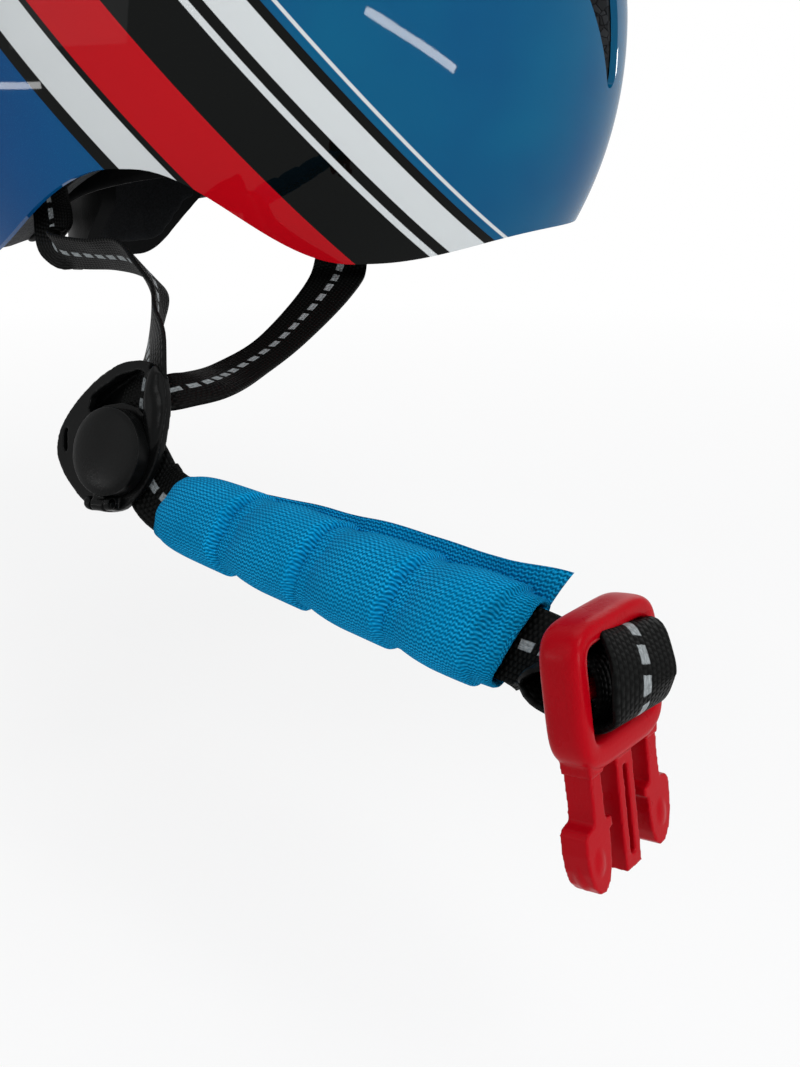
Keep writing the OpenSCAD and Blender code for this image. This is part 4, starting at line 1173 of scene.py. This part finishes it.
@dataclass
class Divider:
    """One strap divider in mm: a rounded frame with a domed disc on its cam lever."""

    bench: Bench
    side: str
    centre: Vector
    x: Vector
    z: Vector
    disc: tuple[float, float, float] = (4.0, -6.2, -3.0)
    dome: tuple[float, float, float] = (11.0, 1.6, 11.0)
    rib: tuple[float, float, float] = (14.2, -1.2, 9.0)
    rib_size: tuple[float, float, float] = (2.9, 2.9, 12.0)
    bins: int = 180
    spread: float = 7.0
    bulge: float = 0.08
    towards: float = 170.0
    core: float = 0.45
    core_ease: float = 0.4
    least: float = 0.9
    most: float = 1.12

    def rounded(self, obj: bpy.types.Object) -> None:
        """Rounds the outline of the frame, and leaves its middle where it is.

        Args:
            obj: The frame's piece.
        """
        x, z = self.x.normalized(), self.z.normalized()
        step = 2 * math.pi / self.bins
        reach, polar = [0.0] * self.bins, []
        for vert in obj.data.vertices:
            way = vert.co / MM - self.centre
            a, b = way.dot(x), way.dot(z)
            k = int((math.atan2(b, a) / (2 * math.pi) % 1.0) * self.bins) % self.bins
            reach[k] = max(reach[k], math.hypot(a, b))
            polar.append((a, b))
        near = range(-3 * round(self.spread), 3 * round(self.spread) + 1)
        shares = [math.exp(-0.5 * (j / self.spread) ** 2) for j in near]
        target = []
        for k in range(self.bins):
            mean = sum(w * reach[(k + j) % self.bins] for w, j in zip(shares, near)) / sum(shares)
            facing = max(0.0, math.cos(k * step - math.radians(self.towards)))
            target.append(mean * (1 + self.bulge * facing ** 2))
        for vert, (a, b) in zip(obj.data.vertices, polar):
            at = (math.atan2(b, a) / (2 * math.pi) % 1.0) * self.bins - 0.5
            k, part = math.floor(at), at - math.floor(at)
            goal, real = (row[k % self.bins] * (1 - part) + row[(k + 1) % self.bins] * part
                          for row in (target, reach))
            fade = clamp((math.hypot(a, b) / real - self.core) / self.core_ease, 0, 1)
            stretch = clamp(goal / real, self.least, self.most) - 1
            vert.co += (x * a + z * b) * stretch * fade * MM

    def build(self) -> None:
        """Builds the frame and the lever."""
        frame_node, lever_node = "divider_frame_" + self.side, "divider_lever_" + self.side
        z = self.z.normalized()
        y = z.cross(self.x).normalized()
        x = y.cross(z)

        def egg(bm: bmesh.types.BMesh, mid: Sequence[float], radii: Sequence[float]) -> None:
            """Adds an ellipsoid in the divider's own axes.

            Args:
                bm: Mesh that gets it.
                mid: Its middle in mm.
                radii: Its radii in mm.
            """
            for vert in bmesh.ops.create_uvsphere(bm, u_segments=64, v_segments=32,
                                                  radius=1.0)["verts"]:
                p = [c + v * r for c, v, r in zip(mid, vert.co, radii)]
                vert.co = (self.centre + x * p[0] + y * p[1] + z * p[2]) * MM

        bm = self.bench.copy(frame_node)
        egg(bm, self.rib, self.rib_size)
        obj = self.bench.moulded(piece(frame_node + "_skin", bm, Finish.TRIM), 0.28, 3)
        self.rounded(obj)
        relax(obj, 8)
        freeze(obj)
        self.bench.settle(obj, frame_node)
        bm = self.bench.copy(lever_node)
        egg(bm, self.disc, self.dome)
        lever = self.bench.moulded(piece(lever_node + "_skin", bm, Finish.TRIM), 0.25, 6)
        self.bench.settle(lever, lever_node)
        LOG.info("divider_%s: %d and %d faces", self.side, len(obj.data.polygons),
                 len(lever.data.polygons))


@dataclass
class Harness:
    """The four straps, the dividers and their levers, and the roots in the foam."""

    bench: Bench

    def build(self) -> None:
        """Builds the harness."""
        for node, stops in (("front_strap_right", FRONT_RIGHT), ("front_strap_left", FRONT_LEFT),
                            ("rear_strap_right", REAR_RIGHT), ("rear_strap_left", REAR_LEFT)):
            strap = Ribbon(node + "_web", stops).build()
            if node == "rear_strap_right":
                # The ring that darkens the loop's hollow joins the strap.
                join(strap, Ribbon("shade_fill_turn", SHADE_FILL_TURN, 15.6).build())
            self.bench.settle(strap, node)
            LOG.info("%s: %d faces", node, len(strap.data.polygons))
        for side, at, x, z in DIVIDERS:
            Divider(self.bench, side, Vector(at), Vector(x), Vector(z)).build()
        for node in ("front_strap_anchors", "rear_strap_anchors", "strap_keeper"):
            self.bench.refine(node, Finish.DULL, 0.3)


# Chin pad
@dataclass
class ChinPad:
    """Quilted sleeve of blue knit round the chin strap, in mm, with the loose edge at its back."""

    bench: Bench
    base: Vector = field(default_factory=lambda: Vector((20.88, -169.4, -50.33)))
    up: Vector = field(default_factory=lambda: Vector((0.325, 0.421, 0.847)))
    way: Vector = field(default_factory=lambda: Vector((0.8422, -0.5361, -0.0568)))
    length: float = 103.0
    wide: float = 23.0
    front: float = 12.1
    back: float = 4.4
    lean: float = 0.2
    taper: float = 0.12
    segments: int = 4
    channel: float = 3.2
    notch: float = 0.1
    mouth: float = 0.45
    hem: float = 0.86
    flap: float = 5.0
    around: int = 84
    along: int = 300
    rise_from: float = 0.13
    rise_run: float = 0.42
    fall_run: float = 0.055
    tunnel: tuple[float, float] = (8.7, 2.2)
    far: float = 0.76
    lip: float = 0.80
    near: float = 0.965
    far_lip: float = 0.7
    near_lip: float = 2.2
    root: float = 7.0
    flap_level: float = -1.8
    flap_lift: float = 3.0
    flap_tip: float = 2.2

    def quilt(self, u: float) -> float:
        """Finds how full the padding is.

        Args:
            u: Share of the length.

        Returns:
            0 on a seam to 1 where the padding is full.
        """
        at = u * self.segments
        share = at % 1.0
        rise = 1.0 if at < 1 else clamp((share - self.rise_from) / self.rise_run, 0, 1)
        full = self.hem if at >= self.segments - 1 else 1.0
        fall = clamp((full - share) / self.fall_run, 0, 1)
        return math.sin(math.pi / 2 * rise) ** 0.85 * math.sin(math.pi / 2 * fall) ** 0.5

    def along_by(self, u: float, w: float) -> float:
        """Returns the distance along the strap, where the top edge leads."""
        return u * self.length + self.lean * w

    def outer(self, turn: float, u: float) -> Vector:
        """Finds a point of the cover.

        Args:
            turn: Angle round the pad in radians.
            u: Share of the length.

        Returns:
            The point in the pad's own axes.
        """
        edge, puff = abs(2 * u - 1), self.quilt(u)
        end = 1 - (0.26 if u < 0.5 else 0.05) * edge ** (14 if u < 0.5 else 10)
        half = self.wide / 2 * (1 - self.taper * (1 - u)) * end * (1 - self.notch * (1 - puff))
        crown = self.mouth + (1 - self.mouth) * math.sqrt(max(0.0, 1 - edge ** 6))
        c, s = math.cos(turn), math.sin(turn)
        w = half * math.copysign(abs(c) ** 0.75, c)
        if s > 0:
            t = (self.front - self.channel * (1 - puff)) * crown * s ** 0.85
            t += 0.22 * (1 - puff) * math.sin(turn * 26) * s
        else:
            t = -(self.back - 0.8 * (1 - puff)) * end * abs(s) ** 0.7
        return Vector((w, t, self.along_by(u, w) + 0.3 * math.sin(w * 0.8 + 11 * u)))

    def inner(self, turn: float, u: float) -> Vector:
        """Finds a point of the tunnel.

        Args:
            turn: Angle round the pad in radians.
            u: Share of the length.

        Returns:
            The point in the pad's own axes.
        """
        c, s = math.cos(turn), math.sin(turn)
        w = self.tunnel[0] * math.copysign(abs(c) ** 0.35, c)
        t = self.tunnel[1] * math.copysign(abs(s) ** 0.35, s)
        return Vector((w, t, self.along_by(u, w)))

    def surface(self, turn: float, v: float) -> Vector:
        """Finds a point of the closed surface: cover, far lip, tunnel and near lip.

        Args:
            turn: Angle round the pad in radians.
            v: Share of the way along the cover and back through the tunnel.

        Returns:
            The point in the pad's own axes.
        """
        if v < self.far:
            return self.outer(turn, v / self.far)
        if v < self.lip:
            t = (v - self.far) / (self.lip - self.far)
            out = Vector((0, 0, self.far_lip * math.sin(math.pi * t)))
            return self.outer(turn, 1).lerp(self.inner(turn, 1), t) + out
        if v < self.near:
            return self.inner(turn, 1 - (v - self.lip) / (self.near - self.lip))
        t = (v - self.near) / (1 - self.near)
        out = Vector((0, 0, self.near_lip * math.sin(math.pi * t)))
        return self.inner(turn, 0).lerp(self.outer(turn, 0), t) - out

    def reach(self, v: float) -> float:
        """Finds how far the loose edge stands past the pad.

        Args:
            v: Share of the length.

        Returns:
            The distance in mm.
        """
        form = ((0.0, 0.0), (0.1, 0.0), (0.4, 0.42), (0.65, 0.7), (0.88, 0.66), (1.0, 1.0))
        for (a, low), (b, high) in zip(form, form[1:]):
            if v <= b:
                return self.flap * ease(low, high, (v - a) / (b - a))
        return self.flap

    def flap_point(self, u: float, v: float) -> Vector:
        """Finds a point of the loose back edge.

        Args:
            u: Share of the way from its root to its tip.
            v: Share of the length.

        Returns:
            The point in the pad's own axes.
        """
        edge = self.wide / 2 * (1 - self.taper * (1 - v)) - 0.3
        w = edge - self.root + u * (self.root + self.reach(v))
        tip = self.flap_tip * clamp((v - 0.9) / 0.1, 0, 1) * u ** 2
        wave = 0.45 * math.sin(v * 15 + 0.6) + 0.25 * math.sin(v * 37)
        lift = (wave + self.flap_lift * v) * u ** 1.3
        return Vector((w, self.flap_level + lift, self.along_by(v, w) + tip))

    def build(self) -> None:
        """Builds the pad and its loose edge as one padded piece."""
        z = self.way.normalized()
        y = z.cross(self.up).normalized()
        x = y.cross(z).normalized()
        ring = [self.outer(2 * math.pi * k / self.around, 0.45) for k in range(self.around + 1)]
        girth = [0.0]
        for a, b in zip(ring, ring[1:]):
            girth.append(girth[-1] + math.hypot(b.x - a.x, b.y - a.y))

        def world(p: Vector) -> Vector:
            """Returns a point of the pad in the helmet's axes, in metres."""
            return (self.base + x * p.x + y * p.y + z * p.z) * MM

        def place(u: float, v: float) -> Vector:
            """Returns a point of the sleeve."""
            return world(self.surface(2 * math.pi * u, v % 1.0))

        def uv(u: float, v: float) -> Vector:
            """Returns a point of the sleeve's map, in metres."""
            return Vector((girth[round(u * self.around)] * MM, v * self.length / self.far * MM))

        bm = skin(self.around, self.along, place, uv)
        flap = skin(14, 130, lambda u, v: world(self.flap_point(u, v)),
                    lambda u, v: Vector((u * 0.012 + 0.1, v * self.length * MM)))
        bmesh.ops.solidify(flap, geom=flap.faces[:], thickness=1.0 * MM)
        absorb(bm, flap)
        obj = piece("chin_pad_quilted", bm, Finish.TOWEL, 60.0)
        self.bench.settle(obj, "chin_pad")
        LOG.info("chin_pad: %d faces", len(obj.data.polygons))


# Pads in the shell
@dataclass(frozen=True)
class Slant:
    """The slanted lower edge of the cradle's wings, in mm."""

    start: float = 33.0
    slope: float = 1.41
    bend: float = 5.0
    low: float = -12.0
    high: float = 28.0
    least: float = 0.3
    cuts: tuple[int, ...] = tuple(side * k for side in (-1, 1) for k in range(28, 56))

    def apply(self, obj: bpy.types.Object) -> None:
        """Draws up the lower corners of a piece to the slanted edge.

        Args:
            obj: The piece.
        """
        for vert in obj.data.vertices:
            level, past = vert.co.z / MM, abs(vert.co.y / MM) - self.start + self.bend
            out = past * past / (4 * self.bend) if past < 2 * self.bend else past - self.bend
            if past > 0 and level < self.high:
                share = 1 - self.slope * out / (self.high - self.low)
                vert.co.z = (self.high - (self.high - level) * max(share, self.least)) * MM


@dataclass
class Lining:
    """Comfort pads and their hook discs inside the foam."""

    bench: Bench
    swell: float = 0.9
    voxel: float = 2.6
    pressure: float = 4.0
    steps: int = 20
    slant: Slant = Slant()

    def puffed(self, node: str) -> bpy.types.Object:
        """Swells a pad's solid into a soft cushion.

        Args:
            node: CAD node of the pad.

        Returns:
            The cushion.
        """
        obj = piece(node + "_cushion", self.bench.copy(node), Finish.PAD, 60.0)
        remesh(obj, self.voxel)
        freeze(obj)
        self.inflate(obj)
        relax(obj, 4)
        finer = obj.modifiers.new("finer", "SUBSURF")
        finer.levels = finer.render_levels = 1
        freeze(obj)
        obj.data.shade_smooth()
        LOG.info("%s: cushion, %d faces", node, len(obj.data.polygons))
        return self.bench.settle(obj, node)

    def inflate(self, obj: bpy.types.Object) -> None:
        """Runs the cloth under pressure, and limits how far each point moves.

        Args:
            obj: The cushion.
        """
        start = [v.co.copy() for v in obj.data.vertices]
        cloth = obj.modifiers.new("air", "CLOTH")
        cloth.settings.quality = 5
        cloth.settings.mass = 0.2
        cloth.settings.use_pressure = True
        cloth.settings.uniform_pressure_force = self.pressure
        cloth.settings.effector_weights.gravity = 0
        cloth.point_cache.frame_start = 1
        cloth.point_cache.frame_end = self.steps
        scene = bpy.context.scene
        for step in range(1, self.steps + 1):
            scene.frame_set(step)
        freeze(obj)
        scene.frame_set(1)
        for vert, old in zip(obj.data.vertices, start):
            move = vert.co - old
            if move.length > self.swell * MM:
                vert.co = old + move.normalized() * self.swell * MM

    def build(self) -> None:
        """Builds the pads."""
        for node in ("brow_pad", "crown_pad", "side_pad_right", "side_pad_left"):
            self.puffed(node)
        self.slant.apply(self.puffed("cradle_pad"))
        self.bench.refine("hook_discs", Finish.HOOK, 0.2)


# Buckle and fit system
@dataclass
class Buckle:
    """Side release buckle in mm: the male half with its two prongs, and the female half.

    The male half has its own axes: x along the bar, z away from the prongs, y towards the pad.
    """

    bench: Bench
    centre: Vector = field(default_factory=lambda: Vector((124.0, -238.3, -55.9)))
    bar_way: Vector = field(default_factory=lambda: Vector((0.5, 0.865, 0.05)))
    up_way: Vector = field(default_factory=lambda: Vector((-0.145, 0.05, 1.0)))
    bar: tuple[float, float, float] = (0.0, 0.6, -0.8)
    wide: float = 28.4
    high: float = 27.2
    rail: float = 4.7
    deep: float = 8.6
    foot: float = -12.6
    prong_x: float = 9.6
    prong_t: float = 5.8
    prong_len: float = 25.5
    guide_w: float = 5.4
    guide_t: float = 5.8
    slit: float = 1.3
    bar_r: float = 2.0
    outline: tuple[tuple[float, float], ...] = (
        (-1.7, 1.0), (1.9, 1.0), (1.7, -8.0), (1.9, -11.0), (4.2, -11.6), (4.9, -12.6),
        (5.0, -16.0), (4.6, -19.6), (3.6, -22.6), (1.9, -24.6), (0.2, -24.8), (-1.3, -23.6),
        (-2.3, -21.0), (-2.8, -17.0), (-2.8, -13.6), (-3.8, -13.2), (-3.8, -11.4), (-1.9, -11.0),
        (-1.7, -8.0))
    knob: tuple[float, float, float] = (1.3, 0.0, -18.4)
    knob_size: tuple[float, float, float] = (3.5, 3.3, 6.2)

    def frame(self) -> Matrix:
        """Returns the place of the male half, from its own mm to metres."""
        z = self.up_way.normalized()
        y = z.cross(self.bar_way).normalized()
        return basis((y.cross(z), y, z), self.centre, MM)

    def loop(self) -> bmesh.types.BMesh:
        """Returns the frame's ring, a full round moulding that is thicker at its base."""
        half_w, half_h = (self.wide - self.rail) / 2, (self.high - self.rail) / 2

        def place(u: float, v: float) -> Vector:
            """Returns a point of the ring."""
            a, b = 2 * math.pi * (v % 1.0), 2 * math.pi * (u % 1.0)
            c, s = math.cos(a), math.sin(a)
            out = Vector((math.copysign(abs(c) ** 0.34, c), 0, math.copysign(abs(s) ** 0.34, s)))
            mid = Vector((out.x * half_w, 0, out.z * half_h))
            way = Vector((c / half_w, 0, s / half_h)).normalized()
            low = clamp(-s, 0, 1)
            thick = self.rail / 2 * (1 + 0.35 * low ** 3)
            x, y = math.cos(b), math.sin(b)
            return (mid + way * thick * math.copysign(abs(x) ** 0.6, x)
                    + Vector((0, self.deep / 2 * math.copysign(abs(y) ** 0.6, y), 0)))

        return skin(28, 120, place)

    def block(self, bm: bmesh.types.BMesh, centre: tuple[float, float, float],
              size: tuple[float, float, float], taper: float = 1.0) -> None:
        """Adds a block, narrowed at its foot, to a moulding.

        Args:
            bm: The moulding.
            centre: The block's middle in mm.
            size: Its size in mm.
            taper: Share of the size that is left at its foot.
        """
        made = bmesh.ops.create_cube(bm, size=1.0)["verts"]
        for vert in made:
            share = taper if vert.co.z < 0 else 1.0
            vert.co = Vector((centre[0] + vert.co.x * size[0] * share,
                              centre[1] + vert.co.y * size[1], centre[2] + vert.co.z * size[2]))

    def male(self) -> bpy.types.Object:
        """Builds the frame with its bar, shoulders and slotted guide."""
        bm = self.loop()
        bar = bmesh.ops.create_cone(bm, cap_ends=True, segments=24, radius1=self.bar_r,
                                    radius2=self.bar_r, depth=self.wide - 6)["verts"]
        bmesh.ops.rotate(bm, verts=bar, cent=(0, 0, 0), matrix=Matrix.Rotation(math.pi / 2, 3, "Y"))
        bmesh.ops.translate(bm, verts=bar, vec=self.bar)
        foot, tall, deep = self.foot, self.prong_len - 1.0, self.guide_t
        wall = (self.guide_w - self.slit) / 2
        for side in (-1, 1):
            self.block(bm, (side * self.prong_x, 0, foot - 0.4),
                       (4.6, self.prong_t + 0.6, 3.4), 0.9)
        self.block(bm, (0, 0, foot + 0.4), (self.wide - 10, self.prong_t, 3.4), 0.9)
        for side in (-1, 1):
            self.block(bm, (side * (self.guide_w - wall) / 2, 0, foot - tall / 2),
                       (wall, deep, tall), 0.92)
        self.block(bm, (0, 0, foot - 1.6), (self.guide_w, deep, 4.4))
        self.block(bm, (0, 0, foot - tall + 1.4), (self.guide_w * 0.9, deep, 2.8), 0.85)
        self.block(bm, (0, 0.6, foot - tall / 2), (self.guide_w - 1.6, 2.6, tall - 2.0))
        bmesh.ops.transform(bm, matrix=self.frame(), verts=bm.verts[:])
        obj = self.bench.moulded(piece("buckle_frame_moulding", bm, Finish.RED), 0.28, 5)
        LOG.info("buckle_male: %d faces", len(obj.data.polygons))
        return self.bench.settle(obj, "buckle_male")

    def prong(self, side: int, node: str) -> bpy.types.Object:
        """Builds one springy prong with its rounded hook.

        Args:
            side: 1 for the far prong, -1 for the near one.
            node: CAD node that it stands for.

        Returns:
            The prong.
        """
        bm = bmesh.new()
        verts = [bm.verts.new((side * x, -self.prong_t / 2, z)) for x, z in self.outline]
        face = bm.faces.new(verts)
        made = bmesh.ops.extrude_face_region(bm, geom=[face])["geom"]
        bmesh.ops.translate(bm, verts=[v for v in made if isinstance(v, bmesh.types.BMVert)],
                            vec=(0, self.prong_t, 0))
        head = bmesh.ops.create_uvsphere(bm, u_segments=24, v_segments=16, radius=1.0)["verts"]
        for vert in head:
            x, y, z = (c + v * r for c, v, r in zip(self.knob, vert.co, self.knob_size))
            vert.co = Vector((side * x, y, z))
        bmesh.ops.recalc_face_normals(bm, faces=bm.faces[:])
        bmesh.ops.translate(bm, verts=bm.verts[:],
                            vec=(side * self.prong_x, 0, self.foot))
        bmesh.ops.transform(bm, matrix=self.frame(), verts=bm.verts[:])
        obj = self.bench.moulded(piece(node + "_moulding", bm, Finish.RED), 0.28, 6)
        LOG.info("%s: %d faces", node, len(obj.data.polygons))
        return self.bench.settle(obj, node)

    def build(self) -> None:
        """Builds both halves."""
        self.male()
        self.prong(-1, "buckle_prong_near")
        self.prong(1, "buckle_prong_far")
        self.bench.soften("buckle_female", Finish.RED, 0.35, 5)


@dataclass
class FitSystem:
    """Dial, racks, cradle and the bands that run to the temples."""

    bench: Bench
    slant: Slant = Slant()

    def band(self, side: int) -> None:
        """Builds one fit band, which runs between the helmet and its rack.

        Args:
            side: 1 for the wearer's left, -1 for the right.
        """
        tail = BAND_LOW if side < 0 else BAND_HIGH
        stops = [((x, y if side < 0 else -y, z), UP) for x, y, z in BAND_HEAD + tail]
        name = "right" if side < 0 else "left"
        obj = Ribbon(f"fit_band_{name}_strip", stops, 13.0, 1.4, Finish.DULL, 8).build()
        node = f"fit_band_{name}"
        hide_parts(node)
        start, end = stops[1][0], stops[-1][0]
        [c * MM for c in start]
        [c * MM for c in end]
        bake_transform(obj)
        LOG.info("%s: %d faces", node, len(obj.data.polygons))

    def build(self) -> None:
        """Builds the fit system."""
        for side in (-1, 1):
            self.band(side)
        for node, edge in (("temple_studs", 0.4), ("cradle_cover", 0.3), ("dial_knob", 0.4),
                           ("rack_right", 0.2), ("rack_left", 0.2)):
            self.bench.refine(node, Finish.DULL, edge)
        self.slant.apply(self.bench.refine("cradle_plate", Finish.DULL, 0.0, cuts=self.slant.cuts))
        self.bench.refine("dial_pinion", Finish.TRIM, 0.08, 2)
        for node in ("cover_screws", "dial_screw", "dial_washer"):
            self.bench.refine(node, Finish.STEEL, 0.12, 2)


# Studio
@dataclass
class Studio:
    """Camera, floor and lights of the product photograph."""

    eye: Vector = field(default_factory=lambda: Vector((0.1247, -0.4534, 0.0403)))
    azimuth: float = 10.0
    pitch: float = 18.0
    lens: float = 43.19
    floor_z: float = -0.16
    shell: Vector = field(default_factory=lambda: Vector((0.0, -0.09, 0.05)))

    def camera(self) -> None:
        """Adds the camera of the photograph."""
        a, e = math.radians(self.azimuth), math.radians(self.pitch)
        back = Vector((math.sin(a) * math.cos(e), -math.cos(a) * math.cos(e), math.sin(e)))
        right = (-back).cross(Vector((0, 0, 1))).normalized()
        data = bpy.data.cameras.new("camera")
        data.lens = self.lens
        data.sensor_width = 36.0
        data.clip_start = 0.01
        cam = bpy.data.objects.new("camera", data)
        cam.matrix_world = basis((right, right.cross(-back), back), self.eye)
        bpy.context.scene.collection.objects.link(cam)
        bpy.context.scene.camera = cam

    def lamp(self, name: str, size: Sequence[float], power: float) -> bpy.types.Object:
        """Makes a soft box.

        Args:
            name: Name of the light.
            size: Its width and height in metres.
            power: Its power in watts.

        Returns:
            The lamp, still to be placed.
        """
        data = bpy.data.lights.new(name, "AREA")
        data.shape = "RECTANGLE"
        data.size, data.size_y = size
        data.energy = power
        lamp = bpy.data.objects.new(name, data)
        bpy.context.scene.collection.objects.link(lamp)
        return lamp

    def light(self, name: str, at: Sequence[float], to: Sequence[float], size: Sequence[float],
              power: float) -> None:
        """Adds a soft box that faces a point.

        Args:
            name: Name of the light.
            at: Its place in metres.
            to: Point that it faces.
            size: Its width and height.
            power: Its power in watts.
        """
        lamp = self.lamp(name, size, power)
        lamp.location = at
        lamp.rotation_euler = (Vector(to) - lamp.location).to_track_quat("-Z", "Y").to_euler()

    def strip(self, name: str, start: Sequence[float], end: Sequence[float], width: float,
              power: float) -> None:
        """Adds a thin soft box between two points, facing the shell.

        Args:
            name: Name of the light.
            start: One end in metres.
            end: The other end in metres.
            width: Its width.
            power: Its power in watts.
        """
        a, b = Vector(start), Vector(end)
        lamp = self.lamp(name, ((b - a).length, width), power)
        along, mid = (b - a).normalized(), (a + b) / 2
        away = mid - self.shell
        away = (away - along * away.dot(along)).normalized()
        lamp.matrix_world = basis((along, away.cross(along), away), mid)

    def seen(self, g: Graph) -> bpy.types.NodeSocket:
        """Returns 1 where the camera sees a surface itself, in gloss or through glass."""
        path = g.node("ShaderNodeLightPath").outputs
        shown = g.math("MAXIMUM", path["Is Camera Ray"], path["Is Glossy Ray"])
        return g.math("MAXIMUM", shown, path["Is Transmission Ray"])

    def floor(self) -> None:
        """Adds the pale floor, which runs out into the white of the surround."""
        bm = bmesh.new()
        bmesh.ops.create_grid(bm, x_segments=1, y_segments=1, size=6.0)
        bmesh.ops.translate(bm, verts=bm.verts[:], vec=(0, 0, self.floor_z))
        g = Graph("floor_paper")
        place = g.place()
        across, along, _ = g.split(place)
        away = g.math("SQRT", g.math("ADD", g.math("MULTIPLY", across, across),
                                     g.math("MULTIPLY", along, along)))
        share = g.math("MULTIPLY", g.ramp(away, 0.25, 1.0, 0.8, 1.0), self.seen(g))
        paper = g.node("ShaderNodeBsdfDiffuse", {"Color": g.mix(
            g.noise(place, 400.0), (0.9, 0.9, 0.9), (0.93, 0.93, 0.93))})
        white = g.node("ShaderNodeEmission", {"Color": (1.0, 1.0, 1.0), "Strength": 1.0})
        mixed = g.node("ShaderNodeMixShader", {0: share, 1: paper.outputs[0], 2: white.outputs[0]})
        g.links.new(mixed.outputs[0], g.output.inputs[0])
        mesh = bpy.data.meshes.new("floor")
        bm.to_mesh(mesh)
        bm.free()
        mesh.materials.append(g.owner)
        plane = bpy.data.objects.new("floor", mesh)
        bpy.context.scene.collection.objects.link(plane)

    def world(self) -> None:
        """Adds a white surround, dimmer in the light that it gives."""
        world = bpy.data.worlds.new("studio")
        bpy.context.scene.world = world
        g = Graph("studio", world)
        lit = g.node("ShaderNodeBackground", {"Color": (0.86, 0.89, 0.93), "Strength": 0.3})
        white = g.node("ShaderNodeBackground", {"Color": (1.0, 1.0, 1.0), "Strength": 1.0})
        mixed = g.node("ShaderNodeMixShader",
                       {0: self.seen(g), 1: lit.outputs[0], 2: white.outputs[0]})
        g.links.new(mixed.outputs[0], g.output.inputs[0])

    def build(self) -> None:
        """Sets up the whole studio."""
        self.camera()
        self.floor()
        self.world()
        self.light("key", (0.75, -0.85, 1.0), (0.05, -0.12, 0.0), (0.7, 0.7), 8.0)
        self.light("fill", (-1.0, -1.1, 0.5), (0.0, -0.15, 0.0), (1.0, 1.0), 3.2)
        self.light("top", (0.0, 0.1, 1.6), (0.0, -0.1, 0.0), (1.2, 1.2), 8.0)
        self.light("back", (0.3, 1.3, 0.7), (0.0, 0.0, 0.0), (1.2, 0.8), 4.0)
        self.strip("brow_strip", (1.117, -0.655, -0.09), (0.716, -1.083, 0.19), 0.045, 4.0)
        self.strip("nape_strip", (-1.22, -0.55, -0.11), (-1.0, -0.8, -0.125), 0.03, 0.9)
        self.strip("edge_glint", (0.66, 1.04, 0.03), (0.7, 1.04, 0.09), 0.05, 0.15)
        bpy.context.scene.view_settings.view_transform = "Standard"


def main() -> None:
    """Builds the dressed helmet and its studio."""
    logging.basicConfig(level=logging.INFO, format="%(name)s %(message)s")
    bench = Bench(frame)
    Shell(bench).build()
    Harness(bench).build()
    ChinPad(bench).build()
    Lining(bench).build()
    Buckle(bench).build()
    FitSystem(bench).build()
    Studio().build()


if __name__ == "__main__":
    main()
